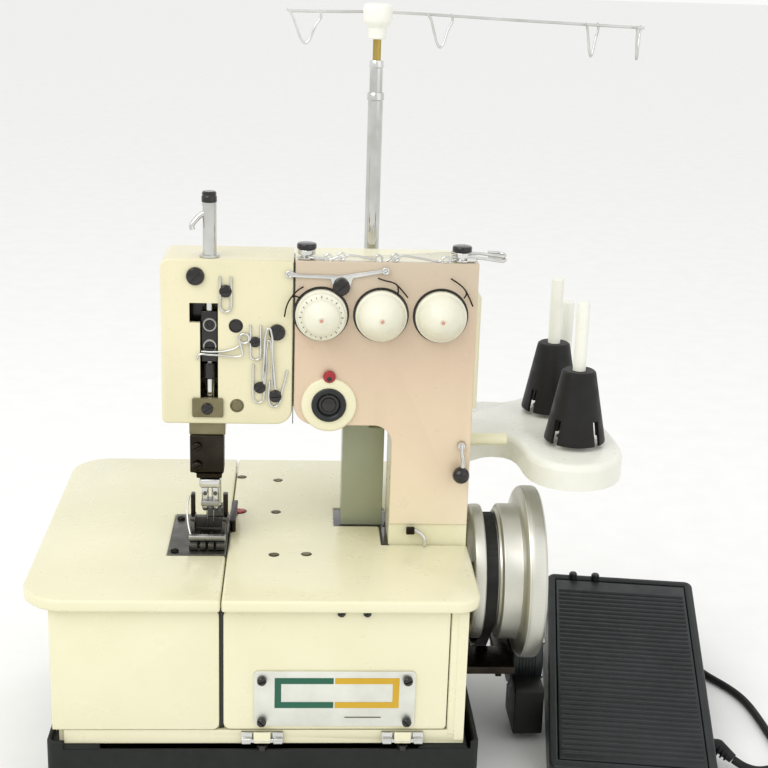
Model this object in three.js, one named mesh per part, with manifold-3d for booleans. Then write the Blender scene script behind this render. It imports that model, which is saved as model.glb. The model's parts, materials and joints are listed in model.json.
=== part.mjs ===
// Portable coverstitch sewing machine with its foot pedal, in millimetres, +Z up.
// The machine stands on its rubber feet at z = 0. X runs to the operator's right and Y away from the
// operator; x = 0 is the middle of the bed and y = 0 the front edge of the bed until the last lines,
// which put the origin under the middle of the whole object.
import * as THREE from "three";
import { mergeVertices } from "three/addons/utils/BufferGeometryUtils.js";
import Module from "manifold-3d";

const wasm = await Module();
wasm.setup();

// ---------------------------------------------------------------- driving dimensions
const gap = 0.3; // between two pieces that touch
const runningGap = 0.35; // radial, between a moving bar and its bore

const bedWidth = 320;
const bedDepth = 290;
const bedHeight = 190; // table to the top of the cloth plates
const plateThickness = 9;
const bedCorner = 32;
const slitX = -21; // the joint between the two cloth plates
const slitWidth = 0.8;

const bodySetback = 7; // front covers behind the bed's front edge
const bodyOverhang = 8; // bed past the body's right side
const bodyOverhangLeft = 20.3;
const coverThickness = 4;
const coverBottom = 87;
const wall = 7; // cast walls of the main frame
const railBottom = 76; // underside of the main frame

const trayWall = 3;
const trayFront = 74; // height of the tray's front wall
const traySide = 80; // height of its side walls
const trayMargin = 4; // tray wall outside the body
const trayPost = 34;
const footRadius = 12;
const footHeight = 6;

const armHeight = 217; // bed to the top of the arm
const armBottom = 94; // bed to the underside of the arm
const armFront = 103;
const armDepth = 49;
const armWall = 6;
const armCoverThickness = 4;
const headLeft = -69;
const headRight = 26;
const headWall = 3.5;
const pillarLeft = 100;
const pillarSetback = 1; // pillar inside the bed's right edge
const pillarFoot = 16; // bed to the lower edge of the arm's front cover
const columnLeft = 65;
const columnWidth = 32;
const columnFront = 144;
const columnDepth = 32;

const plateGap = 5; // open strip of the cloth plate in front of the column and left of the pillar

const throatLeft = -64;
const throatFront = 80;
const throatDepth = 80;
const throatThickness = 3;

const needleX = -34.5;
const needleY = 112.5;
const needleBarRadius = 3.5;
const needleStroke = 18;
const presserX = -31;
const presserY = 128;
const presserBarRadius = 4;

const shaftY = 145;
const shaftDrop = 40; // bed to the main shaft's axis
const shaftRadius = 7;
const bushRadius = 12;

const wheelGap = 14.5; // body side to the wheel's inner flange
const flangeRadius = 53;
const flangeWidth = 9;
const stepRadius = 53.5;
const stepWidth = 15;
const rimRadius = 68;
const rimWidth = 17;

const beltPitch = 5.08;
const beltWidth = 9.5;
const beltThickness = 2;
const wheelTeeth = 56;
const motorTeeth = 11;
const motorClearance = 1.7; // between the wheel's rim and the motor
const motorBehind = 40; // motor axis behind the main shaft
const motorRadius = 29;
const motorLength = 27;

const dialRadius = 18.6;
const dialDepth = 22;
const dialDrop = 38.5; // arm's top down to the dials' axes
const dialFirst = 46;
const dialPitch = 43.2;

const standTop = 68; // bed to the top of the spool stand
const standThickness = 20;
const pinRadius = 5;
const pinLength = 113;
const sparePinLength = 84;
const coneTop = 13;
const coneBottom = 23.5;
const coneHeight = 56;
const coneWall = 2.4;
const conePins = { front: [245, 145], rear: [239, 226] };
const sparePin = [257, 268];

const poleX = 84;
const poleY = 165;
const poleLowerRadius = 5.5;
const poleWall = 0.9;
const poleTops = { lower: 331, middle: 354, upper: 369 }; // above the bed
const poleTravel = { middle: 120, upper: 110 };
const guideHeight = 388; // bed to the thread guide bar
const wireRadius = 1.1;

const pedalWidth = 130;
const pedalLength = 235;
const pedalFrontHeight = 22;
const pedalRearHeight = 80;
const pedalTurn = -8; // degrees about Z
const pedalCorner = [389, 280]; // right rear corner
const treadleThickness = 5;

const cordRadius = 3.25;
const coilTurnRadius = 33.75; // middle of the turns
const coilWidth = 17.5; // radial thickness of the wound turns
const coilHeight = 13;
const coilLow = 0.4;

// ---------------------------------------------------------------- places worked out from them
const bedLeft = -bedWidth / 2;
const bedRight = bedWidth / 2;
const plateBottom = bedHeight - plateThickness;
const bodyLeft = bedLeft + bodyOverhangLeft;
const bodyRight = bedRight - bodyOverhang;
const bodyRear = bedDepth - 10;
const coverBack = bodySetback + coverThickness;
const frameFront = coverBack + 1;
const frameTop = plateBottom - gap;
const armTop = bedHeight + armHeight;
const armUnder = bedHeight + armBottom;
const armRear = armFront + armDepth;
const armRight = bedRight - pillarSetback;
const castFront = armFront + armCoverThickness + gap;
const columnRight = columnLeft + columnWidth;
const columnRear = columnFront + columnDepth;
const shaftZ = bedHeight - shaftDrop;
const wheelLeft = bodyRight + wheelGap;
const beltLeft = wheelLeft + flangeWidth + 0.7;
const stepLeft = beltLeft + beltWidth + 2.8;
const rimLeft = stepLeft + stepWidth;
const wheelRight = rimLeft + rimWidth;
const wheelPitchRadius = (wheelTeeth * beltPitch) / (2 * Math.PI);
const motorPitchRadius = (motorTeeth * beltPitch) / (2 * Math.PI);
const motorY = shaftY + motorBehind;
const beltCentres = rimRadius + motorRadius + motorClearance;
const motorZ = shaftZ - Math.sqrt(beltCentres ** 2 - motorBehind ** 2);
const standZ = bedHeight + standTop;
const sideShift = bedRight - 160; // what stands beside the machine follows the bed's right edge

// ---------------------------------------------------------------- materials
const finish = (color, roughness, metalness) =>
  new THREE.MeshStandardMaterial({ color, roughness, metalness });
const materials = {
  cream: finish(0xf1efd2, 0.45, 0.1),
  blush: finish(0xe2cdb6, 0.45, 0.1),
  whitePlastic: finish(0xeeeee4, 0.4, 0),
  blackPlastic: finish(0x1b1c1b, 0.5, 0),
  blackSteel: finish(0x232624, 0.45, 0.6),
  darkSteel: finish(0x3c3c38, 0.4, 0.9),
  chrome: finish(0xc9c9c6, 0.15, 1),
  steel: finish(0xa8a8a2, 0.3, 1),
  aluminium: finish(0xbdbcb4, 0.3, 1),
  brass: finish(0xb09a4e, 0.3, 1),
  greyPaint: finish(0xa9ad98, 0.5, 0.1),
  rubber: finish(0x151616, 0.85, 0),
  red: finish(0xa3232a, 0.35, 0),
};

// ---------------------------------------------------------------- solids
// A closed geometry as a solid with its faces pointing out.
function solid(geometry) {
  const bare = geometry.clone();
  bare.deleteAttribute("normal");
  bare.deleteAttribute("uv");
  const merged = mergeVertices(bare, 1e-4);
  const vertProperties = merged.attributes.position.array;
  const triVerts = new Uint32Array(merged.index.array);
  const made = new wasm.Manifold(new wasm.Mesh({ numProp: 3, vertProperties, triVerts }));
  if (made.volume() > 0) return made;
  triVerts.reverse();
  return new wasm.Manifold(new wasm.Mesh({ numProp: 3, vertProperties, triVerts }));
}

const join = (first, ...others) => others.reduce((whole, piece) => whole.add(piece), first);
const cut = (first, ...others) => others.reduce((whole, piece) => whole.subtract(piece), first);

function box(x0, x1, y0, y1, z0, z1) {
  const geometry = new THREE.BoxGeometry(x1 - x0, y1 - y0, z1 - z0);
  return solid(geometry.translate((x0 + x1) / 2, (y0 + y1) / 2, (z0 + z1) / 2));
}

// Turns a geometry made along +Z so that it runs along the named axis; in its own plane x and y
// become y and z (along X), x and z (along Y) or stay (along Z).
function turnTo(axis, geometry) {
  const [X, Y, Z] = [[1, 0, 0], [0, 1, 0], [0, 0, 1]].map((v) => new THREE.Vector3(...v));
  const basis = new THREE.Matrix4();
  if (axis === "x") basis.makeBasis(Y, Z, X);
  if (axis === "y") basis.makeBasis(X, Z, Y.clone().negate());
  return geometry.applyMatrix4(basis);
}

// A shape drawn in the plane across the axis, extruded from one place on the axis to another.
function prism(shape, axis, from, to, curveSegments = 8) {
  const options = { depth: to - from, bevelEnabled: false, curveSegments };
  const geometry = turnTo(axis, new THREE.ExtrudeGeometry(shape, options));
  if (axis === "x") geometry.translate(from, 0, 0);
  if (axis === "y") geometry.translate(0, to, 0);
  if (axis === "z") geometry.translate(0, 0, from);
  return solid(geometry);
}

// A round bar along an axis; centre holds the two other coordinates in x, y, z order.
function bar(axis, centre, radius, from, to, segments = 20) {
  const geometry = new THREE.CylinderGeometry(radius, radius, to - from, segments);
  geometry.rotateX(Math.PI / 2);
  turnTo(axis, geometry);
  const middle = (from + to) / 2;
  const [a, b] = centre;
  if (axis === "x") geometry.translate(middle, a, b);
  if (axis === "y") geometry.translate(a, middle, b);
  if (axis === "z") geometry.translate(a, b, middle);
  return solid(geometry);
}

// A profile of [radius, place along the axis] points turned round an axis.
function turned(axis, centre, profile, segments = 24) {
  const points = profile.map(([r, along]) => new THREE.Vector2(r, along));
  const geometry = new THREE.LatheGeometry(points, segments);
  if (axis === "x") geometry.rotateZ(-Math.PI / 2).translate(0, centre[0], centre[1]);
  if (axis === "y") geometry.translate(centre[0], 0, centre[1]);
  if (axis === "z") geometry.rotateX(Math.PI / 2).translate(centre[0], centre[1], 0);
  return solid(geometry);
}

// A rectangle with round corners, in the order left-low, right-low, right-high, left-high.
function roundedRectangle(x0, x1, y0, y1, radii) {
  const [a, b, c, d] = Array.isArray(radii) ? radii : [radii, radii, radii, radii];
  const shape = new THREE.Shape();
  shape.moveTo(x0 + a, y0);
  shape.lineTo(x1 - b, y0);
  if (b) shape.absarc(x1 - b, y0 + b, b, -Math.PI / 2, 0, false);
  shape.lineTo(x1, y1 - c);
  if (c) shape.absarc(x1 - c, y1 - c, c, 0, Math.PI / 2, false);
  shape.lineTo(x0 + d, y1);
  if (d) shape.absarc(x0 + d, y1 - d, d, Math.PI / 2, Math.PI, false);
  shape.lineTo(x0, y0 + a);
  if (a) shape.absarc(x0 + a, y0 + a, a, Math.PI, 1.5 * Math.PI, false);
  return shape;
}

const polygon = (points) => new THREE.Shape(points.map(([x, y]) => new THREE.Vector2(x, y)));
const vectors = (points) => points.map((p) => new THREE.Vector3(...p));

// A round wire, tube or cord along a smooth path through the points.
function wire(points, radius, sides = 8, steps = 24) {
  const section = new THREE.Shape();
  section.absarc(0, 0, radius, 0, 2 * Math.PI, false);
  const path = new THREE.CatmullRomCurve3(vectors(points), false, "centripetal");
  const options = { steps, extrudePath: path, bevelEnabled: false, curveSegments: sides / 2 };
  return solid(new THREE.ExtrudeGeometry(section, options));
}

// A straight round link from one point to another, tapering when the two radii differ.
function link(from, to, radius, endRadius = radius, sides = 6) {
  const [start, end] = vectors([from, to]);
  const along = end.clone().sub(start);
  const geometry = new THREE.CylinderGeometry(endRadius, radius, along.length(), sides);
  geometry.translate(0, along.length() / 2, 0);
  const up = new THREE.Vector3(0, 1, 0);
  geometry.applyQuaternion(new THREE.Quaternion().setFromUnitVectors(up, along.normalize()));
  return solid(geometry.translate(start.x, start.y, start.z));
}

const ball = ([x, y, z], radius, sides = 16) =>
  solid(new THREE.SphereGeometry(radius, sides, sides / 2).translate(x, y, z));

// A closed wire loop with ball corners.
function wireLoop(points, radius) {
  const next = (i) => points[(i + 1) % points.length];
  return join(...points.flatMap((p, i) => [link(p, next(i), radius), ball(p, radius, 6)]));
}

const machine = new THREE.Group();
const cordNodes = new Set();

// Adds a named mesh made from a solid to the machine, or to a group inside it.
function add(name, material, shape, parent = machine) {
  const { numProp, vertProperties, triVerts } = shape.getMesh();
  const positions = new Float32Array((vertProperties.length / numProp) * 3);
  for (let i = 0; i < positions.length / 3; i++) {
    positions.set(vertProperties.subarray(i * numProp, i * numProp + 3), i * 3);
  }
  const geometry = new THREE.BufferGeometry();
  geometry.setAttribute("position", new THREE.BufferAttribute(positions, 3));
  geometry.setIndex(new THREE.BufferAttribute(triVerts, 1));
  geometry.computeVertexNormals();
  const mesh = new THREE.Mesh(geometry, material.clone());
  mesh.name = name;
  parent.add(mesh);
  return mesh;
}

// ---------------------------------------------------------------- base tray and feet
const trayLeft = bodyLeft - trayMargin;
const trayRight = bodyRight + trayMargin + 7;
const trayRear = bodyRear + trayMargin;
const trayFrontY = bodySetback - 5;
const trayBottom = footHeight + gap;

function baseTray() {
  const outer = roundedRectangle(trayLeft, trayRight, trayFrontY, trayRear, 6);
  const inner = roundedRectangle(
    trayLeft + trayWall, trayRight - trayWall, trayFrontY + trayWall, trayRear - trayWall, 3);
  const shell = cut(
    prism(outer, "z", trayBottom, traySide, 3),
    prism(inner, "z", trayBottom + trayWall, traySide + 1, 3),
    box(trayLeft + 12, trayRight - 6, trayFrontY - 1, trayFrontY + trayWall + 1, trayFront, traySide + 1),
  );
  const posts = [];
  for (const x of [trayLeft + trayWall - 1, trayRight - trayWall - trayPost - 6]) {
    for (const y of [trayFrontY + trayWall - 1, trayRear - trayWall - trayPost + 1]) {
      posts.push(box(x, x + trayPost + 1, y, y + trayPost, trayBottom + 1, railBottom - gap));
    }
  }
  return join(shell, ...posts);
}

add("base_tray", materials.blackSteel, baseTray());
for (const [side, x] of [["left", trayLeft + 22], ["right", trayRight - 22]]) {
  for (const [end, y] of [["front", trayFrontY + 22], ["rear", trayRear - 22]]) {
    add(`rubber_foot_${end}_${side}`, materials.rubber, bar("z", [x, y], footRadius, 0, footHeight, 16));
  }
}

// ---------------------------------------------------------------- main frame, under the bed
const webRight = slitX + 4;
const shelfLeft = columnLeft - 7;
const shelfFront = armFront - 7;
const shelfRear = columnRear + 8;

function mainFrame() {
  const left = bodyLeft + coverThickness;
  const front = frameFront;
  const floor = box(left, bodyRight, front, bodyRear, railBottom, railBottom + wall);
  const rail = box(left + 4, bodyRight, bodySetback + 1, front + 1, railBottom, coverBottom - 0.5);
  const rightWall = prism(
    roundedRectangle(bodySetback, bodyRear, railBottom, frameTop, [4, 0, 0, 4]),
    "x", bodyRight - wall, bodyRight, 4);
  const rearWall = box(left, bodyRight, bodyRear - wall, bodyRear, railBottom, frameTop);
  const leftWall = box(left, left + wall, front, bodyRear, railBottom, frameTop);
  const web = box(webRight - wall, webRight, front, bodyRear, railBottom, frameTop);
  const shelf = box(shelfLeft, bodyRight, shelfFront, shelfRear, frameTop - 10, frameTop);
  const post = box(shelfLeft, shelfLeft + wall, shelfFront, shelfRear, railBottom, frameTop);
  const ledges = [throatFront + 0.5, throatFront + throatDepth - 5].map((y) =>
    box(throatLeft + 1, slitX - slitWidth, y, y + 4.5, frameTop - 8, bedHeight - throatThickness - gap));
  const screwEnd = bar("x", [shaftY, shaftZ], shaftRadius + 2, webRight - wall - 1, shelfLeft + wall + 1);
  const bearingHole = bar("x", [shaftY, shaftZ], bushRadius + gap, bodyRight - wall - 1, bodyRight + 1);
  const looperHole = bar("y", [looperX, looperZ], looperShaftRadius + runningGap, bodyRear - wall - 1, bodyRear + 1);
  return cut(
    join(floor, rail, rightWall, rearWall, leftWall, web, shelf, post, ...ledges),
    screwEnd, bearingHole, looperHole);
}

const looperX = needleX - 30;
const looperZ = bedHeight - 62;
const looperShaftRadius = 5;
const looperY = needleY + 4;

add("main_frame", materials.cream, mainFrame());

// ---------------------------------------------------------------- cloth plates, covers
function clothPlate(x0, x1, radii) {
  return prism(roundedRectangle(x0, x1, 0, bedDepth, radii), "z", plateBottom, bedHeight, 8);
}

const leftPlate = cut(
  clothPlate(bedLeft, slitX - slitWidth / 2, [bedCorner, 0, 0, bedCorner]),
  box(throatLeft - gap, slitX + 1, throatFront - gap, throatFront + throatDepth + gap,
    plateBottom - 1, bedHeight + 1));
const rightPlate = cut(
  clothPlate(slitX + slitWidth / 2, bedRight, [0, bedCorner / 2, bedCorner / 2, 0]),
  box(pillarLeft - plateGap, bedRight + 1, armFront - 1, armRear + 1, plateBottom - 1, bedHeight + 1),
  box(columnLeft - plateGap, pillarLeft, columnFront - plateGap, columnRear + 1, plateBottom - 1,
    bedHeight + 1));
add("left_cloth_plate", materials.cream, leftPlate);
add("right_cloth_plate", materials.cream, rightPlate);

const coverTop = plateBottom - 1;
const coverSplit = slitX + 1.5;
const coverRight = bodyRight - 13;
const leftCoverFront = prism(
  roundedRectangle(bodyLeft, slitX - 1.5, coverBottom, coverTop, [4, 5, 5, 0]),
  "y", bodySetback, coverBack, 3);
const leftCoverSide = box(bodyLeft, bodyLeft + coverThickness - 1, bodySetback, bodyRear, coverBottom, coverTop);
add("left_cover", materials.cream, join(leftCoverFront, leftCoverSide));
add("front_cover", materials.cream, prism(
  roundedRectangle(coverSplit, coverRight, coverBottom + 0.5, coverTop, [5, 3, 3, 5]),
  "y", bodySetback, coverBack, 3));

// Each hinge is a leaf on the frame's rail with knuckles round a pin.
const hingeWidth = 30;
const hingeZ = 80;
const hingeY = bodySetback - 2;
const knuckleRadius = 2.2;
for (const [side, x] of [["left", -7], ["right", 93]]) {
  const leaf = box(x, x + hingeWidth, hingeY, bodySetback + 1 - gap, railBottom + 2, coverBottom - 1);
  const knuckles = bar("x", [hingeY, hingeZ], knuckleRadius, x, x + hingeWidth, 12);
  const notch = box(x + 8, x + hingeWidth - 8, hingeY - 4, hingeY + 1.2, hingeZ + 1.5, coverBottom);
  add(`cover_hinge_${side}`, materials.chrome, cut(join(leaf, knuckles), notch));
}
add("name_plate", materials.whitePlastic, prism(
  roundedRectangle(coverSplit + 21.5, coverSplit + 135.5, coverBottom + 4, coverBottom + 47, 3),
  "y", bodySetback - gap - 1.4, bodySetback - gap, 3));

// ---------------------------------------------------------------- throat plate, feed dog, looper
const feedSlots = [-9, -1.5, 6].map((x) => needleX + x);
const feedSlotWidth = 4;
const feedTravel = 2;
const feedFront = needleY - 16;
const feedRear = needleY + 14;
const needleXs = [-2.4, 2.4].map((x) => needleX + x);
const needleRadius = 0.6;
const needleRoom = 1.3; // half the width of the holes that the needles go down through

function throatPlate() {
  const top = bedHeight;
  const plate = box(throatLeft, slitX - slitWidth / 2, throatFront, throatFront + throatDepth,
    top - throatThickness, top);
  const slots = feedSlots.map((x) =>
    box(x, x + feedSlotWidth, feedFront - feedTravel - 1, feedRear + feedTravel + 1,
      top - throatThickness - 1, top + 1));
  const needleHoles = needleXs.map((x) =>
    bar("z", [x, needleY], needleRoom, top - throatThickness - 1, top + 1, 10));
  return cut(plate, ...slots, ...needleHoles);
}

function feedDog() {
  const toothTop = bedHeight - 0.4;
  const carrier = box(feedSlots[0], feedSlots[2] + feedSlotWidth, feedFront, feedRear + 26,
    bedHeight - 14, bedHeight - throatThickness - 2);
  const bars = feedSlots.map((x) =>
    box(x + 0.6, x + feedSlotWidth - 0.6, feedFront, feedRear, bedHeight - 6, toothTop));
  const needleHoles = needleXs.map((x) =>
    box(x - needleRoom, x + needleRoom, needleY - feedTravel - needleRoom, needleY + feedTravel + needleRoom,
      bedHeight - 16, bedHeight + 1));
  return cut(join(carrier, ...bars), ...needleHoles);
}

function looper() {
  const shaft = bar("y", [looperX, looperZ], looperShaftRadius, looperY - 10, bodyRear - 1);
  const arm = prism(polygon([
    [looperX - 6, looperZ - 4], [looperX + 6, looperZ - 4], [looperX + 5, bedHeight - 24],
    [looperX + 20, bedHeight - 19], [looperX + 20, bedHeight - 16.5], [looperX - 3, bedHeight - 18],
  ]), "y", looperY, looperY + 4);
  return join(shaft, arm);
}

add("throat_plate", materials.darkSteel, throatPlate());
add("feed_dog", materials.steel, feedDog());
add("looper", materials.steel, looper());

// ---------------------------------------------------------------- main shaft, handwheel, belt drive
const hubRadius = 17;
add("main_shaft", materials.steel,
  bar("x", [shaftY, shaftZ], shaftRadius, webRight - wall - 6, wheelRight - 8));
add("main_bearing", materials.brass, cut(
  bar("x", [shaftY, shaftZ], bushRadius, bodyRight - wall - 3, bodyRight + 4),
  bar("x", [shaftY, shaftZ], shaftRadius + runningGap, bodyRight - wall - 4, bodyRight + 5)));

function handwheel() {
  const bore = shaftRadius + 0.05;
  const seat = wheelPitchRadius - 1 - gap;
  const beltRight = stepLeft - 2;
  const web = rimLeft + 3;
  const rimInner = rimRadius - 9;
  return turned("x", [shaftY, shaftZ], [
    [bore, wheelLeft + 4], [flangeRadius - 9, wheelLeft + 4], [flangeRadius - 5, wheelLeft],
    [flangeRadius - 1.5, wheelLeft], [flangeRadius, wheelLeft + 2], [flangeRadius, wheelLeft + flangeWidth],
    [seat, wheelLeft + flangeWidth], [seat, beltRight], [stepRadius - 5, beltRight],
    [stepRadius - 4, stepLeft], [stepRadius, stepLeft + 1.5], [stepRadius, rimLeft],
    [rimRadius - 5, rimLeft + 0.5], [rimRadius - 1, rimLeft + 3], [rimRadius, rimLeft + 6],
    [rimRadius, wheelRight - 3], [rimRadius - 2.5, wheelRight], [rimInner, wheelRight],
    [rimInner - 2, web + 4], [hubRadius + 3, web], [hubRadius, web + 2], [hubRadius, wheelRight - 6],
    [bore, wheelRight - 6], [bore, wheelLeft + 4],
  ], 40);
}

// The belt's outline round both pulleys, as far outside their pitch circles as asked.
function beltLoop(outside) {
  const big = wheelPitchRadius + outside;
  const small = motorPitchRadius + outside;
  const dy = motorY - shaftY;
  const dz = motorZ - shaftZ;
  const down = Math.atan2(dz, dy);
  const spread = Math.acos((big - small) / beltCentres);
  const shape = new THREE.Shape();
  shape.absarc(shaftY, shaftZ, big, down + spread, down - spread + 2 * Math.PI, false);
  shape.absarc(motorY, motorZ, small, down - spread, down + spread, false);
  shape.closePath();
  return shape;
}

const beltLoopSolid = (outside, from, to) => prism(beltLoop(outside), "x", from, to, 18);
add("handwheel", materials.aluminium, handwheel());
add("timing_belt", materials.rubber, cut(
  beltLoopSolid(beltThickness / 2, beltLeft, beltLeft + beltWidth),
  beltLoopSolid(-beltThickness / 2, beltLeft - 1, beltLeft + beltWidth + 1)));

const motorLeft = rimLeft + 5;
const plugX = motorLeft + 13;
const plugSocketZ = 16;
const plugRadius = 5;
const earRight = rimLeft - 1.5;
const earLeft = earRight - 5;
const shaftHole = 8;

function motorPulley() {
  const rootRadius = motorPitchRadius - beltThickness / 2 - gap;
  const left = beltLeft - 3;
  return turned("x", [motorY, motorZ], [
    [0, left], [rootRadius + 3, left], [rootRadius + 3, left + 2], [rootRadius, left + 2],
    [rootRadius, beltLeft + beltWidth + 0.6], [rootRadius + 3, beltLeft + beltWidth + 0.6],
    [rootRadius + 3, beltLeft + beltWidth + 2.4], [3, beltLeft + beltWidth + 2.4],
    [3, motorLeft - 1], [0, motorLeft - 1],
  ], 20);
}

function motorBody() {
  const right = motorLeft + motorLength;
  const bossLeft = earRight + gap;
  const boreDepth = motorLeft;
  return turned("x", [motorY, motorZ], [
    [5, bossLeft], [18, bossLeft], [20, motorLeft - 1], [motorRadius - 4, motorLeft],
    [motorRadius, motorLeft + 4], [motorRadius, right - 5], [motorRadius - 5, right], [0, right],
    [0, boreDepth], [5, boreDepth], [5, bossLeft],
  ], 28);
}

function motorBracket() {
  const top = traySide + 9;
  const rear = motorY + 28;
  const plate = box(bodyRight + gap, earRight, armFront - 5, rear, traySide + 3, top);
  const beltWindow = box(beltLeft - 4.5, beltLeft + beltWidth + 3.5, motorY - 50, motorY + 22, traySide, top + 1);
  const ear = box(earLeft, earRight, motorY - 21, motorY + 21, motorZ - 14, top);
  const flange = box(bodyRight + gap, bodyRight + 6, armFront - 5, rear, traySide + 3, traySide + 24);
  const hole = bar("x", [motorY, motorZ], shaftHole, earLeft - 1, earRight + 1);
  const wheelRoom = bar("x", [shaftY, shaftZ], flangeRadius + 3, wheelLeft - 2, earRight + 1, 40);
  const flangeRoom = bar("x", [shaftY, shaftZ], bushRadius + 4, bodyRight, bodyRight + 7);
  return cut(join(plate, ear, flange), beltWindow, hole, wheelRoom, flangeRoom);
}

add("motor_pulley", materials.steel, motorPulley());
add("motor_body", materials.blackPlastic, motorBody());
add("motor_bracket", materials.blackSteel, motorBracket());
add("terminal_box", materials.blackPlastic, cut(
  prism(roundedRectangle(motorY - 50, motorY - 3, 8, motorZ - 10, 4), "x", motorLeft + 1, motorLeft + 25, 4),
  bar("x", [motorY, motorZ], motorRadius + gap, motorLeft, motorLeft + 30, 28),
  bar("y", [plugX, plugSocketZ], plugRadius + gap, motorY - 12, motorY, 14)));

// ---------------------------------------------------------------- arm, pillar, rear column
const pillarOutline = (inset) => {
  const inner = 14;
  const shape = new THREE.Shape();
  const left = headRight + 1 + inset;
  const right = armRight - inset;
  const top = armTop - inset;
  const under = armUnder + inset;
  const pillar = pillarLeft + inset;
  shape.moveTo(left, top);
  shape.lineTo(left, under + 16);
  shape.absarc(left + 16, under + 16, 16, Math.PI, 1.5 * Math.PI, false);
  shape.lineTo(pillar - inner, under);
  shape.absarc(pillar - inner, under - inner, inner, Math.PI / 2, 0, true);
  shape.lineTo(pillar, bedHeight + pillarFoot);
  shape.lineTo(right, bedHeight + pillarFoot);
  shape.lineTo(right, top);
  shape.closePath();
  return shape;
};

const lowerBossTop = armUnder + 14;
const boss = { left: needleX - 15, right: presserX + 8, front: armFront + headWall + gap, rear: armRear - 17 };
const poleBoss = { left: poleX - 14, right: poleX + 14, rear: poleY + 14, top: armUnder + 50 };

function armCasting() {
  const shell = cut(
    prism(pillarOutline(0), "y", castFront, armRear, 6),
    prism(pillarOutline(armWall), "y", castFront - 1, armRear - armWall, 6));
  const base = box(pillarLeft, armRight, armFront + 1.5, armRear, plateBottom, bedHeight + pillarFoot + 4);
  const baseClear = box(pillarLeft - 1, armRight + 1, armFront, castFront, bedHeight + pillarFoot - gap,
    bedHeight + pillarFoot + 5);
  const sideBulge = box(armRight - 1, armRight + 4, armFront + 10, armRear, bedHeight + 105, armTop - 27);
  const backPlate = box(headLeft + headWall + 1, headRight + 8, armRear - 18, armRear, armUnder + headWall + 1,
    armTop - headWall - 1);
  const lowerBoss = box(boss.left, boss.right, boss.front, boss.rear + 1, armUnder - 8, lowerBossTop);
  const upperBoss = box(boss.left, boss.right, boss.front, boss.rear + 1, armTop - 22, armTop - headWall - 1);
  const poleSocket = box(poleBoss.left, poleBoss.right, armRear - 1, poleBoss.rear, armUnder, poleBoss.top);
  const standLedge = box(pillarLeft + 4, armRight - 3, armRear - 1, armRear + 40,
    standZ - standThickness - 16, standZ - standThickness - gap);
  const needleBore = bar("z", [needleX, needleY], needleBarRadius + runningGap, armUnder - 9, armTop);
  const presserBore = bar("z", [presserX, presserY], presserBarRadius + runningGap, armUnder - 9, armTop);
  const poleBore = bar("z", [poleX, poleY], poleLowerRadius + 0.1, armUnder + 12, poleBoss.top + 1);
  const lifterBore = bar("y", [lifterX, lifterZ], lifterStub + runningGap, armRear - 19, armRear + 1);
  return cut(
    join(cut(shell), cut(base, baseClear), sideBulge, backPlate, lowerBoss, upperBoss, poleSocket, standLedge),
    needleBore, presserBore, poleBore, lifterBore);
}

// The lifter turns on a stub behind the head and its grip points right.
const lifterX = presserX + 22;
const lifterZ = armUnder + 30;
const lifterStub = 4;
const lifterLength = 64;
const lifterThickness = 8;

add("arm_casting", materials.cream, armCasting());

const dialXs = [0, 1, 2].map((i) => dialFirst + i * dialPitch);
const dialZ = armTop - dialDrop;
const dialShaftRadius = 4;
const windowX = 52.8;
const windowZ = bedHeight + 110.3;
const windowRadius = 12.8;
const plugZ = windowZ + 21.5;
const leverX = armRight - 7;
const leverZ = bedHeight + 80;

function armFrontCover() {
  const plate = prism(pillarOutline(0), "y", armFront, armFront + armCoverThickness, 8);
  const raised = bar("y", [windowX, windowZ], 20.5, armFront - 2, armFront + 1, 32);
  const holes = [
    ...dialXs.map((x) => bar("y", [x, dialZ], dialShaftRadius + runningGap, armFront - 1, castFront)),
    bar("y", [windowX, windowZ], windowRadius - 3, armFront - 3, castFront),
    bar("y", [windowX, plugZ], 3.6, armFront - 3, castFront, 16),
    bar("y", [leverX, leverZ], 2.5 + runningGap, armFront - 1, castFront, 12),
  ];
  return cut(join(plate, raised), ...holes);
}

add("arm_front_cover", materials.blush, armFrontCover());

// The face cover is a deep shell over the needle head, open at the back and on the right.
const slotLeft = -48.5;
const slotRight = -28;
const slotStepLeft = -41;

function faceCover() {
  const outline = (inset, right) => roundedRectangle(
    headLeft + inset, right, armUnder + inset, armTop - inset, [4, 12, 0, 6]);
  const outer = prism(outline(0, headRight), "y", armFront, armRear, 6);
  const inner = box(headLeft + headWall, headRight + 1, armFront + headWall, armRear + 1,
    armUnder + headWall, armTop - headWall);
  const upperSlot = box(slotLeft, slotRight, armFront - 1, armFront + headWall + 1,
    bedHeight + 170.5, bedHeight + 185);
  const lowerSlot = box(slotStepLeft, slotRight, armFront - 1, armFront + headWall + 1,
    bedHeight + 113, bedHeight + 171);
  const tubeHole = bar("z", [needleX, needleY], guardRadius + gap, armTop - headWall - 1, armTop + 1);
  const underHole = box(boss.left - gap, boss.right + gap, boss.front - gap, boss.rear + 2,
    armUnder - 1, armUnder + headWall + 1);
  return cut(outer, inner, upperSlot, lowerSlot, tubeHole, underHole);
}

const guardRadius = 5.2;
const guardTop = armTop + 43;
add("face_cover", materials.cream, faceCover());

add("rear_column", materials.greyPaint, cut(
  box(columnLeft, columnRight, columnFront, columnRear, plateBottom, armUnder - gap),
  box(columnLeft + 6, columnRight - 6, columnRear - 12, columnRear + 1, plateBottom + 20, armUnder - 20),
  box(columnRight - 12, columnRight + 1, columnFront - 1, armRear + gap, armUnder - 15, armUnder)));

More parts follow.
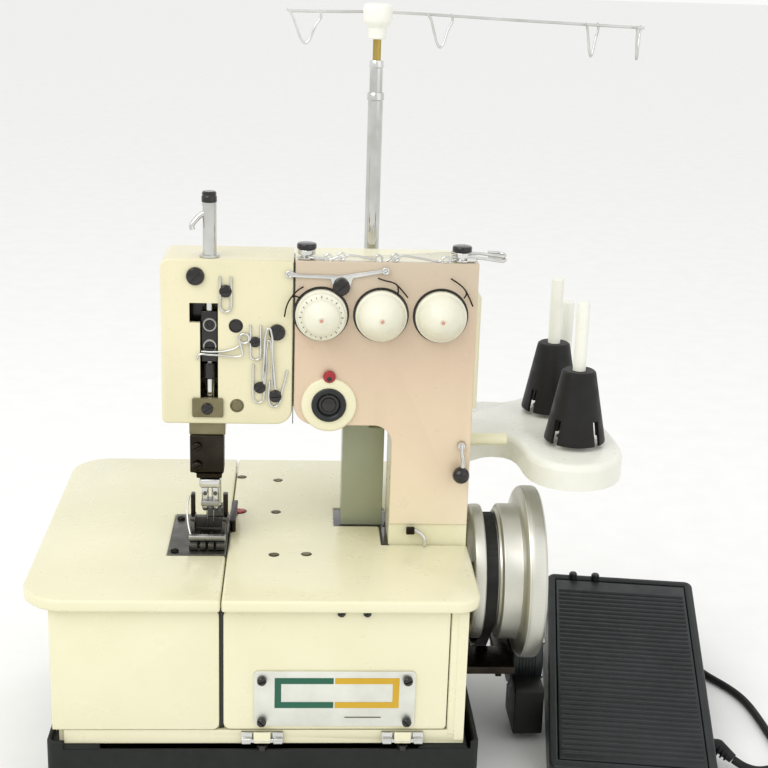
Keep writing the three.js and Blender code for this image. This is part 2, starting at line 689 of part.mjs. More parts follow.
// ---------------------------------------------------------------- dials, window, plug, lever
function tensionDial(x) {
  const y0 = armFront - gap;
  const skirt = [
    [0, y0 - dialDepth], [6, y0 - dialDepth + 0.6], [11, y0 - dialDepth + 3], [dialRadius - 4, y0 - dialDepth + 7],
    [dialRadius - 2.5, y0 - dialDepth + 9], [dialRadius, y0 - dialDepth + 10], [dialRadius, y0 - 4],
    [dialRadius - 2, y0 - 1.5], [dialShaftRadius, y0 - 1.5], [dialShaftRadius, castFront + 3],
    [0, castFront + 3],
  ];
  return turned("y", [x, dialZ], skirt, 28);
}

dialXs.forEach((x, i) => {
  add(`tension_dial_${["left", "middle", "right"][i]}`, materials.whitePlastic, tensionDial(x));
});

add("oil_window", materials.blackPlastic, turned("y", [windowX, windowZ], [
  [0, armFront - 1], [windowRadius - 5, armFront - 1], [windowRadius - 4.4, armFront - 4.5],
  [windowRadius, armFront - 4.5], [windowRadius, armFront - 2 - gap], [windowRadius - 3 - gap, armFront - 2 - gap],
  [windowRadius - 3 - gap, castFront - 1], [0, castFront - 1],
], 28));
add("oil_plug", materials.red, turned("y", [windowX, plugZ], [
  [0, armFront - 4], [3, armFront - 3.6], [4.6, armFront - 2.5], [4.6, armFront - 2 - gap],
  [3.3, armFront - 2 - gap], [3.3, castFront - 1], [0, castFront - 1],
], 16));

function releaseLever() {
  const pivot = bar("y", [leverX, leverZ], 2.5, armFront - 5, castFront - gap, 12);
  const stem = bar("z", [leverX, armFront - 6], 2.2, leverZ - 20, leverZ + 3, 12);
  return join(pivot, stem, ball([leverX, armFront - 6.5, leverZ - 22], 6.2));
}

add("release_lever", materials.blackPlastic, releaseLever());

// ---------------------------------------------------------------- needle bar and presser bar
const clampZ = bedHeight + 49;

function needleBar() {
  const rod = bar("z", [needleX, needleY], needleBarRadius, clampZ, armTop + 20, 16);
  const holder = box(needleX - 7, needleX + 7, needleY - 6, needleY + 5, bedHeight + 23, clampZ + 1);
  const needles = needleXs.map((x) =>
    bar("z", [x, needleY], needleRadius, bedHeight + 7, bedHeight + 24, 6));
  const driver = box(needleX - 6, needleX + 6, armFront + headWall + 1, needleY + 6,
    lowerBossTop + needleStroke + 14, armTop - 39);
  return join(rod, holder, driver, ...needles);
}

function needleGuideBlock() {
  const top = armUnder - 8 - 1.5;
  const upper = box(needleX - 14.5, needleX + 10.5, needleY - 8, needleY + 8, bedHeight + 55, top);
  const lower = box(needleX - 10, needleX + 9, needleY - 7, needleY + 7, clampZ + 1 + gap, bedHeight + 56);
  return cut(join(upper, lower), bar("z", [needleX, needleY], needleBarRadius + gap, clampZ, top + 1, 16));
}

function takeUpArm() {
  const z = armTop + 22;
  const collar = bar("z", [needleX, needleY], needleBarRadius - 0.2, armTop + 20 + gap, z + 14, 16);
  const finger = wire([
    [needleX, needleY, z + 10], [needleX - 8, needleY - 1, z + 6], [needleX - 12.5, needleY - 2, z + 2],
    [needleX - 11, needleY - 3, z - 1.5],
  ], 1.3, 6, 10);
  return join(collar, finger);
}

function needleBarGuard() {
  const z0 = armTop + gap;
  const tube = cut(
    bar("z", [needleX, needleY], guardRadius, z0, guardTop, 24),
    bar("z", [needleX, needleY], needleBarRadius + runningGap + 0.4, z0 - 1, guardTop - 4, 20));
  const flange = cut(
    bar("z", [needleX, needleY], guardRadius + 2, z0, z0 + 1.5, 24),
    bar("z", [needleX, needleY], needleBarRadius + runningGap + 0.4, z0 - 1, z0 + 3, 20));
  const slot = box(needleX - guardRadius - 3, needleX, needleY - 2.6, needleY + 2.2, z0 + 3, guardTop - 6);
  return cut(join(tube, flange), slot);
}

add("needle_bar", materials.chrome, needleBar());
add("needle_guide_block", materials.blackSteel, needleGuideBlock());
add("take_up_arm", materials.chrome, takeUpArm());
add("needle_bar_guard", materials.chrome, needleBarGuard());

const footTop = bedHeight + 5;

function presserFoot() {
  const left = needleX - 14.5;
  const right = needleX + 12;
  const bottom = bedHeight + 0.5;
  const sole = box(left, right, needleY - 25, needleY + 12, bottom, footTop);
  const toeGaps = [-7.3, -1.3, 4.7].map((x) =>
    box(needleX + x - 0.9, needleX + x + 0.9, needleY - 26, needleY - 8, bottom - 1, footTop + 1));
  const needleWindow = box(needleX - 7.6, needleX + 7.6, needleY - 6.8, needleY + 5.8, bottom - 1, footTop + 1);
  const bridge = box(left, right, needleY + 7, needleY + 12, bottom + 1, bedHeight + 14);
  const cheeks = [left, right - 3].map((x) =>
    box(x, x + 3, needleY - 8, needleY + 12, bottom + 1, bedHeight + 16));
  const horns = [left, right - 2.6].map((x) =>
    box(x, x + 2.6, needleY + 1, needleY + 6, bedHeight + 15, bedHeight + 35));
  const shank = box(presserX - 7, presserX + 7, needleY + 10, presserY + 7, bottom + 1, bedHeight + 20);
  const bore = bar("z", [presserX, presserY], presserBarRadius + gap, bedHeight + 6, bedHeight + 21, 16);
  return cut(join(sole, bridge, ...cheeks, ...horns, shank), ...toeGaps, needleWindow, bore);
}

add("presser_bar", materials.chrome,
  bar("z", [presserX, presserY], presserBarRadius, bedHeight + 6 + gap, armTop - headWall - 12, 16));
add("presser_foot", materials.darkSteel, presserFoot());

function presserLifter() {
  const bladeFront = armRear + 2;
  const bladeRear = bladeFront + lifterThickness;
  const stub = bar("y", [lifterX, lifterZ], lifterStub, armRear - 17, bladeRear + 1, 16);
  const blade = prism(roundedRectangle(lifterX - 7, lifterX + lifterLength, lifterZ - 7, lifterZ + 7, 6),
    "y", bladeFront, bladeRear, 4);
  return join(stub, blade);
}

add("presser_lifter", materials.chrome, presserLifter());

// ---------------------------------------------------------------- spool stand
function standOutline() {
  const x = sideShift;
  const shape = new THREE.Shape();
  shape.moveTo(pillarLeft + 6, armRear + 1);
  shape.lineTo(armRight - 6, armRear + 1);
  shape.bezierCurveTo(x + 170, 152, x + 170, 166, x + 184, 167);
  shape.bezierCurveTo(x + 206, 168, x + 202, 140, x + 205, 122);
  shape.bezierCurveTo(x + 208, 102, x + 224, 91, x + 240, 91);
  shape.bezierCurveTo(x + 264, 91, x + 281, 112, x + 281, 142);
  shape.bezierCurveTo(x + 281, 180, x + 278, 200, x + 272, 230);
  shape.bezierCurveTo(x + 270, 262, x + 272, 280, x + 253, 280);
  shape.bezierCurveTo(x + 225, 280, x + 215, 251, x + 190, 250);
  shape.lineTo(pillarLeft + 26, 250);
  shape.bezierCurveTo(pillarLeft + 12, 250, pillarLeft + 6, 240, pillarLeft + 6, 226);
  shape.closePath();
  return shape;
}

const seatRadius = 14;
const seatHeight = 3;
const pinTenon = 10;

function standPlate() {
  const plate = prism(standOutline(), "z", standZ - standThickness, standZ, 6);
  const pins = [...Object.values(conePins), sparePin];
  const seats = Object.values(conePins).map(([x, y]) =>
    bar("z", [x + sideShift, y], seatRadius, standZ - 1, standZ + seatHeight));
  const holes = pins.map(([x, y]) =>
    bar("z", [x + sideShift, y], pinRadius + 0.1, standZ - pinTenon, standZ + seatHeight + 1, 16));
  return cut(join(plate, ...seats), ...holes);
}

function spoolPin([x, y], length) {
  const bottom = standZ - pinTenon + gap;
  const top = standZ + length;
  return turned("z", [x + sideShift, y], [
    [0, bottom], [pinRadius, bottom], [pinRadius, top - 1.5], [pinRadius - 1.5, top], [0, top],
  ], 16);
}

// A hollow cone that grips a cone of thread, with four slots up from its skirt.
function spoolCone([x, y]) {
  const centre = [x + sideShift, y];
  const z0 = standZ + seatHeight + gap;
  const z1 = z0 + coneHeight;
  const shell = turned("z", centre, [
    [coneBottom - coneWall, z0], [coneBottom, z0], [coneTop + 1.5, z1 - 2], [coneTop - 0.5, z1],
    [pinRadius + runningGap, z1], [pinRadius + runningGap, z1 - 5], [coneTop - coneWall, z1 - 5],
    [coneBottom - coneWall, z0],
  ], 24);
  const slots = [0, 1].map((i) => {
    const blade = new THREE.BoxGeometry(2 * coneBottom + 4, 6, 18);
    blade.rotateZ(Math.PI / 6 + (i * Math.PI) / 2).translate(centre[0], centre[1], z0 + 4);
    return solid(blade);
  });
  return cut(shell, ...slots);
}

add("spool_stand", materials.whitePlastic, standPlate());
for (const [place, pin] of Object.entries(conePins)) {
  add(`spool_pin_${place}`, materials.whitePlastic, spoolPin(pin, pinLength));
  add(`spool_cone_${place}`, materials.blackPlastic, spoolCone(pin));
}
add("spool_pin_spare", materials.whitePlastic, spoolPin(sparePin, sparePinLength));
add("side_stay", materials.cream,
  bar("x", [armFront + 42, bedHeight + 70.5], 4.7, armRight + gap, armRight + 33, 16));

// ---------------------------------------------------------------- thread guide pole
const poleMiddleRadius = poleLowerRadius - poleWall - runningGap;
const poleUpperRadius = poleMiddleRadius - poleWall - runningGap;
const poleFoot = armUnder + 13;

function poleTube(radius, bore, bottom, top) {
  const shell = [
    [bore, bottom], [radius, bottom], [radius, top - 5], [radius + 0.5, top - 4], [radius + 0.5, top - 1],
    [radius, top], [bore, top], [bore, bottom],
  ];
  return turned("z", [poleX, poleY], shell, 20);
}

const middleFoot = bedHeight + poleTops.lower - poleTravel.middle - 30;
const upperFoot = bedHeight + poleTops.middle - poleTravel.upper - 25;
add("pole_lower", materials.chrome,
  poleTube(poleLowerRadius, poleLowerRadius - poleWall, poleFoot, bedHeight + poleTops.lower));
add("pole_middle", materials.chrome,
  poleTube(poleMiddleRadius, poleMiddleRadius - poleWall, middleFoot, bedHeight + poleTops.middle));
add("pole_upper", materials.brass,
  bar("z", [poleX, poleY], poleUpperRadius, upperFoot, bedHeight + poleTops.upper + 12, 16));

// The cap that carries the guide bar turns on top of the pole. The bar is one bent wire with four
// hanging triangles.
function guideBar() {
  const z = bedHeight + guideHeight;
  const cap = turned("z", [poleX, poleY], [
    [poleUpperRadius + runningGap, bedHeight + poleTops.upper], [6.5, bedHeight + poleTops.upper],
    [8, z - 9], [10.5, z - 6], [10.5, z + 4], [9, z + 6], [0, z + 6],
    [0, bedHeight + poleTops.upper + 12 + gap],
    [poleUpperRadius + runningGap, bedHeight + poleTops.upper + 12 + gap],
    [poleUpperRadius + runningGap, bedHeight + poleTops.upper],
  ], 24);
  const right = bedRight + 119;
  const rail = wire([[poleX - 64, poleY, z - 1], [poleX, poleY, z], [right, poleY, z - 6]], wireRadius, 6, 8);
  const triangles = guideTriangles().map(({ x, half, turn }) => {
    const drop = 21;
    const dx = half * Math.cos(turn);
    const dy = half * Math.sin(turn);
    const top = z - 0.8 - (6 * Math.max(0, x - poleX)) / (right - poleX);
    return wireLoop([
      [x - dx, poleY - dy, top], [x - dx * 0.25, poleY - dy * 0.25, top - drop],
      [x + dx * 0.25, poleY + dy * 0.25, top - drop], [x + dx, poleY + dy, top],
    ], wireRadius);
  });
  return join(cap, rail, ...triangles);
}

function guideTriangles() {
  return [
    { x: poleX - 52, half: 11, turn: 0 },
    { x: poleX + 46, half: 10, turn: 0.5 },
    { x: bedRight + 81, half: 9, turn: 0.9 },
    { x: bedRight + 115, half: 8, turn: 1.2 },
  ];
}

add("thread_guide_bar", materials.chrome, guideBar());

// ---------------------------------------------------------------- small guides on the arm
function topGuideRail() {
  const y = armFront + 9;
  const posts = [headRight + 9, armRight - 12].map((x) => turned("z", [x, y], [
    [0, armTop + gap], [5.6, armTop + gap], [5.6, armTop + 6], [5, armTop + 7], [5, armTop + 10],
    [3.5, armTop + 12], [0, armTop + 12],
  ], 14));
  const rail = wire([
    [headRight + 9, y, armTop + 4], [headRight + 40, y, armTop + 4], [armRight - 12, y, armTop + 3.5],
    [armRight + 20, y, armTop + 4],
  ], 1.6, 6, 12);
  return join(...posts, rail);
}

function guidePlate() {
  const z = bedHeight + 204.5;
  const plate = prism(polygon([
    [headRight - 3, z], [headRight + 64, z + 3], [headRight + 64, z + 6], [headRight - 3, z + 6],
  ]), "y", armFront - 2.5, armFront - gap);
  const stem = prism(roundedRectangle(windowX + 2, windowX + 14, bedHeight + 193, z + 4, 4),
    "y", armFront - 2.5, armFront - gap, 4);
  return join(plate, stem);
}

add("top_guide_rail", materials.chrome, topGuideRail());
add("guide_plate", materials.chrome, guidePlate());

// ---------------------------------------------------------------- foot pedal
// The pedal has its own frame: x across it, y from its front edge to its rear, z up from the table.
const pedal = new THREE.Group();
pedal.rotation.z = THREE.MathUtils.degToRad(pedalTurn);
pedal.position.set(pedalCorner[0] + sideShift, pedalCorner[1], 0);
const pedalFrame = new THREE.Group();
pedalFrame.position.set(-pedalWidth / 2, -pedalLength, 0);
pedal.add(pedalFrame);
machine.add(pedal);

const halfPedal = pedalWidth / 2;
const pedalSlope = (pedalRearHeight - pedalFrontHeight) / pedalLength;
const topAt = (y) => pedalFrontHeight + pedalSlope * y;
const treadleInset = 7; // side rims of the base beside the treadle
const pedalWall = 5;
const treadleClearance = 3.6; // the pressed treadle swings towards the rear wall

// The side outline of the pedal between two places along it, a given depth below its top surface.
function pedalSide(y0, y1, depth, floor) {
  return polygon([[y0, floor], [y1, floor], [y1, topAt(y1) - depth], [y0, topAt(y0) - depth]]);
}

function pedalBase() {
  const outer = prism(pedalSide(0, pedalLength, 0, 0), "x", -halfPedal, halfPedal);
  const rounding = cut(
    box(-halfPedal - 1, halfPedal + 1, -1, pedalLength + 1, -1, pedalRearHeight + 1),
    prism(roundedRectangle(-halfPedal, halfPedal, 0, pedalLength, 7), "z", -2, pedalRearHeight + 2, 5));
  const hollow = prism(
    pedalSide(8, pedalLength - pedalWall, -20, pedalWall), "x",
    -halfPedal + treadleInset, halfPedal - treadleInset);
  return cut(outer, rounding, hollow);
}

function pedalTreadle() {
  const inset = treadleInset + gap + 0.4;
  const y0 = 8 + 1;
  const y1 = pedalLength - pedalWall - treadleClearance;
  const slab = polygon([
    [y0, topAt(y0) - treadleThickness], [y1, topAt(y1) - treadleThickness], [y1, topAt(y1)], [y0, topAt(y0)],
  ]);
  const pin = bar("x", [treadlePivot[0], treadlePivot[1]], 3, -halfPedal + inset, halfPedal - inset, 12);
  return join(prism(slab, "x", -halfPedal + inset, halfPedal - inset), pin);
}

const treadlePivot = [13, topAt(13) - treadleThickness];
add("pedal_base", materials.blackPlastic, pedalBase(), pedalFrame);
add("pedal_treadle", materials.blackPlastic, pedalTreadle(), pedalFrame);

// ---------------------------------------------------------------- pedal cord
// The cord leaves the pedal's right side near its front, bends back on the table and passes behind
// the pedal to a coil of spare length behind the machine, then returns to the box under the motor.
const beside = (points) => points.map(([x, y, z]) => [x + sideShift, y, z]);
const relief = beside([[364.6, 101.6, 18.5], [370, 100.85, 18.5], [380.5, 93.5, 10.8]]);

add("cord_strain_relief", materials.rubber, join(
  link(relief[0], relief[1], 5.2, 5.2, 14),
  ball(relief[1], 5.2, 14),
  link(relief[1], relief[2], 5.2, cordRadius + 0.8, 14)));

const cordRoute = [
  [380.9, 93.2, 10.4], [386.9, 89.9, 7.1], [393.3, 88, 4.9], [399.4, 87.4, 3.9], [405, 87.9, 3.7],
  [411.7, 90, 3.7], [417.7, 93.8, 3.7], [422.4, 99, 3.7], [425.7, 105.3, 3.7], [427.2, 112.1, 3.7],
  [427.4, 121, 3.7], [426, 150, 3.7], [425, 180, 3.7], [422, 203, 3.7], [415, 222, 3.7],
  [406, 237, 3.7], [398, 251, 3.7], [394, 267, 3.7], [391, 285, 3.7], [383, 303, 3.7],
  [367, 320, 3.7], [342, 333, 3.7], [312, 343, 3.7], [282, 356, 3.7], [254, 374, 3.7], [228, 393, 3.7], [200, 410, 3.7],
  [170, 421, 3.7], [142, 424, 3.7],
];
const coilOuter = coilTurnRadius + coilWidth / 2;
const coilCentre = [cordRoute.at(-1)[0] - 29, cordRoute.at(-1)[1] - (coilOuter - 2 * cordRadius)];
const cordReturn = [
  [142, 352, 8.9], [168, 351, 3.9], [196, 346, 3.7], [219, 334, 3.7], [235, 314, 3.7], [241, 290, 3.7],
  [238, 262, 3.7], [231, 235, 5], [224.5, 213, 9], [221.5, 195, 14], [221.5, 176, 16],
];

add("pedal_cord", materials.rubber, wire(beside(cordRoute), cordRadius, 8, 60));
add("pedal_cord_return", materials.rubber, wire(beside(cordReturn), cordRadius, 8, 30));
add("cord_coil", materials.rubber, turned("z", [coilCentre[0] + sideShift, coilCentre[1]], [
  [coilTurnRadius - coilWidth / 2, coilLow], [coilOuter, coilLow], [coilOuter, coilLow + coilHeight],
  [coilTurnRadius - coilWidth / 2, coilLow + coilHeight], [coilTurnRadius - coilWidth / 2, coilLow],
], 28));
for (const name of ["pedal_cord", "pedal_cord_return", "cord_coil", "cord_strain_relief"]) cordNodes.add(name);

// ---------------------------------------------------------------- origin
// The origin is on the table, under the middle of the object's box without its cord.
machine.updateMatrixWorld(true);
const bounds = new THREE.Box3();
machine.traverse((node) => {
  if (node.isMesh && !cordNodes.has(node.name)) bounds.expandByObject(node, true);
});
const middle = bounds.getCenter(new THREE.Vector3());
const part = new THREE.Group();
machine.position.set(-middle.x, -middle.y, -bounds.min.z);
part.add(machine);

export default part;
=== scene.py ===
"""Looks of a portable overlock sewing machine with its foot pedal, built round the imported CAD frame.

Lengths are given in millimetres from the middle of the bed's front edge, at the height of its top:
x to the operator's right, y away from the operator, z up. at() turns them into the row frame in metres.
"""

import json
import math

import bmesh
import bpy
from mathutils import Matrix, Vector

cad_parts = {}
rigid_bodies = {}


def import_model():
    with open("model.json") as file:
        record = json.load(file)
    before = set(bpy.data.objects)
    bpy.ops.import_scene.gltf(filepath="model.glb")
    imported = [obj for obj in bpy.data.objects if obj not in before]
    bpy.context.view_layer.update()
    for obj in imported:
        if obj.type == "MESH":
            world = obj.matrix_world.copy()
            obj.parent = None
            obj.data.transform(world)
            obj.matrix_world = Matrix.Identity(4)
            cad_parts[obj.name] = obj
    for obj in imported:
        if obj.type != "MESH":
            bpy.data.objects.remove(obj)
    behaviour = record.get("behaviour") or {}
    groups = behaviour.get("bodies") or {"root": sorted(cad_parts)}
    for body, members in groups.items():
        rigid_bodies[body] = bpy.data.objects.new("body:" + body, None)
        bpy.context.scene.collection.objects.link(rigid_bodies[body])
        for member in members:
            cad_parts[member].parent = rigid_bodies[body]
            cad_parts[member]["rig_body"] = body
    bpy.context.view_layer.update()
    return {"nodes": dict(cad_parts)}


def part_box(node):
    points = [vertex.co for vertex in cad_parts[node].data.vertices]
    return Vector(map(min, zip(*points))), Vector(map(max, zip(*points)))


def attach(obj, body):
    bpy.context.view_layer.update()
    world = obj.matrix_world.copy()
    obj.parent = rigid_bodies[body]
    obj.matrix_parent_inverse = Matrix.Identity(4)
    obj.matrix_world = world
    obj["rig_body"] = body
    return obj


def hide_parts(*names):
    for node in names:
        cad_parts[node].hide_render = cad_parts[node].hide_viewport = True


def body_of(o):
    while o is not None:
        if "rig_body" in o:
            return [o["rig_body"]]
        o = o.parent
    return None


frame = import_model()

MM = 0.001
TABLE = -190  # the table below the top of the bed
left_low, left_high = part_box("left_cloth_plate")
right_low, right_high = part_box("right_cloth_plate")
ORIGIN = Vector(((left_low[0] + right_high[0]) / 2, right_low[1], right_high[2]))


def at(x, y, z):
    return ORIGIN + Vector((x, y, z)) * MM


# ---------------------------------------------------------------- camera
def make_camera():
    """A camera before the machine and above it, turned a little right, down, and rolled clockwise."""
    yaw, pitch, roll = (math.radians(a) for a in (3.58, 16.67, 1.81))
    ahead = Vector((math.sin(yaw) * math.cos(pitch), math.cos(yaw) * math.cos(pitch), -math.sin(pitch)))
    level = Vector((math.cos(yaw), -math.sin(yaw), 0))
    above = level.cross(ahead)
    across = level * math.cos(roll) + above * math.sin(roll)
    upward = above * math.cos(roll) - level * math.sin(roll)
    data = bpy.data.cameras.new("camera")
    data.sensor_width = 36
    data.lens = 68.39
    camera = bpy.data.objects.new("camera", data)
    turn = Matrix((across, upward, -ahead)).transposed().to_4x4()
    camera.matrix_world = Matrix.Translation(at(29, -919, 433)) @ turn
    bpy.context.collection.objects.link(camera)
    bpy.context.scene.camera = camera


make_camera()


# ---------------------------------------------------------------- materials
def linear(code):
    """A hex colour as linear red, green, blue, alpha."""
    parts = [int(code[i:i + 2], 16) / 255 for i in (0, 2, 4)]
    return [p / 12.92 if p <= 0.04045 else ((p + 0.055) / 1.055) ** 2.4 for p in parts] + [1]


class Surface:
    """A procedural material: noise-driven colour, roughness and bump on a Principled shader."""

    def __init__(self, name, roughness, metallic=0.0, coat=0.0):
        self.material = bpy.data.materials.new(name)
        self.material.use_nodes = True
        self.nodes = self.material.node_tree.nodes
        self.links = self.material.node_tree.links
        self.shader = self.nodes["Principled BSDF"]
        self.shader.inputs["Metallic"].default_value = metallic
        self.shader.inputs["Coat Weight"].default_value = coat
        self.shader.inputs["Coat Roughness"].default_value = 0.08
        self.shader.inputs["Roughness"].default_value = roughness
        self.place = self.nodes.new("ShaderNodeTexCoord").outputs["Object"]
        self.bump_height = None

    def node(self, kind, inputs, output, **settings):
        """A node's output; each of its inputs is given a value or another node's output."""
        node = self.nodes.new(kind)
        for name, value in settings.items():
            setattr(node, name, value)
        for name, value in inputs.items():
            if isinstance(value, bpy.types.NodeSocket):
                self.links.new(value, node.inputs[name])
            else:
                node.inputs[name].default_value = value
        return node.outputs[output]

    def noise(self, scale, detail=3.0, stretch=None):
        """A noise factor; stretch squeezes it along the axes to make brushed or streaked marks."""
        vector = self.place
        if stretch:
            vector = self.node("ShaderNodeMapping", {"Vector": vector, "Scale": stretch}, "Vector")
        return self.node("ShaderNodeTexNoise", {"Vector": vector, "Scale": scale, "Detail": detail}, "Fac")

    def ramp(self, factor, stops):
        node = self.nodes.new("ShaderNodeValToRGB")
        elements = node.color_ramp.elements
        while len(elements) < len(stops):
            elements.new(0.5)
        for element, (place, code) in zip(elements, stops):
            element.position = place
            element.color = linear(code)
        self.links.new(factor, node.inputs["Fac"])
        return node.outputs["Color"]

    def spread(self, factor, low, high):
        limits = {"From Min": 0.3, "From Max": 0.7, "To Min": low, "To Max": high}
        return self.node("ShaderNodeMapRange", {"Value": factor, **limits}, "Result")

    def round_axis(self, y, z):
        """The distance from an axis along X, for lathe marks."""
        away = self.node("ShaderNodeVectorMath", {0: self.place, 1: at(0, y, z)}, "Vector",
            operation="SUBTRACT")
        flat = self.node("ShaderNodeVectorMath", {0: away, 1: (0, 1, 1)}, "Vector", operation="MULTIPLY")
        return self.node("ShaderNodeVectorMath", {0: flat}, "Value", operation="LENGTH")

    def bump(self, height, depth, strength=0.4):
        inputs = {"Height": height, "Distance": depth, "Strength": strength}
        if self.bump_height:
            inputs["Normal"] = self.bump_height
        self.bump_height = self.node("ShaderNodeBump", inputs, "Normal")
        self.links.new(self.bump_height, self.shader.inputs["Normal"])

    def colour(self, socket):
        self.links.new(socket, self.shader.inputs["Base Color"])

    def rough(self, socket):
        self.links.new(socket, self.shader.inputs["Roughness"])


def enamel(name, light, shade, roughness=0.3, coat=0.35):
    """Sprayed enamel: soft cloudy tint, faint orange peel and slightly uneven gloss."""
    s = Surface(name, roughness, coat=coat)
    s.colour(s.ramp(s.noise(9, 4), [(0.3, shade), (0.72, light)]))
    s.rough(s.spread(s.noise(60, 5), roughness - 0.06, roughness + 0.1))
    s.bump(s.noise(700, 2), 0.00012, 0.25)
    s.bump(s.noise(28, 2), 0.0003, 0.06)
    return s.material


def shade_graded_enamel(name, heights):
    """Enamel darker and greyer towards the top: painted shade and reflection over the cover's own tint;
    heights in millimetres above the bed.
    """
    s = Surface(name, 0.32, coat=0.3)
    low, high = heights[0][0], heights[-1][0]
    drift = 0.35
    height = s.node("ShaderNodeSeparateXYZ", {"Vector": s.place}, "Z")
    limits = {"From Min": at(0, 0, low).z, "From Max": at(0, 0, high).z}
    level = s.node("ShaderNodeMapRange", {"Value": height, **limits}, "Result")
    wander = s.node("ShaderNodeMath", {0: s.noise(14, 4), 1: drift, 2: level}, "Value",
        operation="MULTIPLY_ADD")
    shift = s.node("ShaderNodeMath", {0: wander, 1: drift / 2}, "Value", operation="SUBTRACT")
    s.colour(s.ramp(shift, [((z - low) / (high - low), code) for z, code in heights]))
    s.rough(s.spread(s.noise(60, 5), 0.26, 0.42))
    s.bump(s.noise(700, 2), 0.00012, 0.25)
    return s.material


def plastic(name, light, shade, roughness=0.4, grain=1400, coat=0.0):
    """Moulded plastic with a fine grain and faint rubbed patches."""
    s = Surface(name, roughness, coat=coat)
    s.shader.inputs["Specular IOR Level"].default_value = 0.32
    s.colour(s.ramp(s.noise(25, 5), [(0.32, shade), (0.7, light)]))
    s.rough(s.spread(s.noise(90, 5), roughness - 0.08, roughness + 0.12))
    s.bump(s.noise(grain, 3), 0.00015, 0.35)
    return s.material


def metal(name, light, shade, roughness=0.2, stretch=(1, 1, 1), marks=900):
    """Plated or ground metal with fine directional marks and handled, duller patches."""
    s = Surface(name, roughness, metallic=1.0)
    s.colour(s.ramp(s.noise(40, 4), [(0.3, shade), (0.7, light)]))
    s.rough(s.spread(s.noise(130, 6), max(0.04, roughness - 0.08), roughness + 0.12))
    s.bump(s.noise(marks, 2, stretch=stretch), 0.00006, 0.3)
    return s.material


def lathe_turned(name, light, shade, y, z, roughness=0.42):
    """Turned aluminium: concentric tool marks round an axis along X."""
    s = Surface(name, roughness, metallic=1.0)
    away = s.round_axis(y, z)
    rings = s.node("ShaderNodeTexNoise", {"W": away, "Scale": 1900}, "Fac", noise_dimensions="1D")
    s.colour(s.ramp(rings, [(0.3, shade), (0.7, light)]))
    s.rough(s.spread(s.noise(45, 5), roughness - 0.07, roughness + 0.12))
    s.bump(rings, 0.00008, 0.5)
    return s.material


def make_materials():
    along_z = (1, 1, 0.06)
    return {"cream": enamel("cream_enamel", "e4e0c0", "dcd7b4"),
        # blush: the arm cover's own tint, turned darker and greyer upwards as painted shade and reflection
        "shell": enamel("shell_enamel", "dfd8b6", "cfcaa6"), "blush": shade_graded_enamel("blush_enamel",
        [(-5, "e8dcc0"), (70, "dac6a9"), (150, "cbb49a"), (217, "c2b29b")]),
        "olive": enamel("grey_green_enamel", "9da187", "8d9277", 0.35), "tray": plastic("black_tray_enamel",
        "191d1b", "121513", 0.55, 900), "white": plastic("white_plastic", "e9e9df", "dfdfd3", 0.32, 900,
        0.25), "ivory": plastic("ivory_dial_plastic", "e2e0cd", "d6d4bf", 0.28, 1200, 0.3),
        "charcoal": plastic("charcoal_plastic", "222627", "191c1d", 0.4, 1600, 0.1),
        "black": plastic("black_plastic", "141312", "0e0d0c", 0.5, 1300),
        "gloss_black": plastic("gloss_black", "191512", "0f0d0c", 0.2, 1200, 0.5),
        "burnished": metal("black_oxide_steel", "3a352e", "241f1b", 0.32), "dark_steel": metal("dark_steel",
        "6c6b66", "55544f", 0.32, (1, 0.05, 1), 1500), "bracket": metal("bracket_steel", "8b8468", "6f6950",
        0.38, (0.08, 1, 1), 1200), "steel": metal("ground_steel", "b4b3ae", "94938e", 0.28, (1, 0.05, 1),
        1500), "chrome": metal("chrome_plate", "dcdcda", "c2c2be", 0.1, along_z),
        "brass": metal("polished_brass", "b9a35a", "9a853f", 0.22, along_z),
        "wheel": lathe_turned("turned_aluminium", "dcdbd2", "c3c2b8", 145, -40),
        "rubber": plastic("rubber", "191a1a", "101111", 0.62, 2200), "belt": plastic("belt_rubber",
        "262725", "191a19", 0.6, 2600), "red": plastic("red_plastic", "a62a30", "8b1d24", 0.28, 1200, 0.3),
        "pink": plastic("pink_mark", "cf9a8c", "b98374", 0.4, 1200), "green": enamel("green_ink", "0d5c43",
        "0b523b", 0.45, 0.05), "yellow": enamel("yellow_ink", "cda41d", "c29a18", 0.45, 0.05),
        "plate": metal("name_plate_tin", "e6e7df", "d8d9d0", 0.45),
        "ink": plastic("dark_ink", "3b3b36", "2c2c28", 0.5, 1200),}


MATERIALS = make_materials()


# ---------------------------------------------------------------- pieces
def dressed(obj, material, body="machine", nodes=()):
    """Gives a new object its material and body, and hides the CAD nodes that it stands for."""
    obj.data.materials.clear()
    obj.data.materials.append(MATERIALS[material])
    if obj.name not in bpy.context.collection.objects:
        bpy.context.collection.objects.link(obj)
    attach(obj, body)
    if nodes:
        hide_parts(*nodes)
    return obj


def shaded(bm, name, sharp=32):
    """A mesh from a bmesh in millimetres, smooth except across edges sharper than the angle."""
    bmesh.ops.recalc_face_normals(bm, faces=bm.faces)
    mesh = bpy.data.meshes.new(name)
    bm.to_mesh(mesh)
    bm.free()
    mesh.shade_smooth()
    mesh.set_sharp_from_angle(angle=math.radians(sharp))
    return mesh


def solid(name, bm, material, body="machine", nodes=(), sharp=32):
    """A dressed object from a bmesh that is already in the row frame."""
    return dressed(bpy.data.objects.new(name, shaded(bm, name, sharp)), material, body, nodes)


def to_row(bm):
    bmesh.ops.scale(bm, vec=(MM, MM, MM), verts=bm.verts)
    bmesh.ops.translate(bm, vec=ORIGIN, verts=bm.verts)


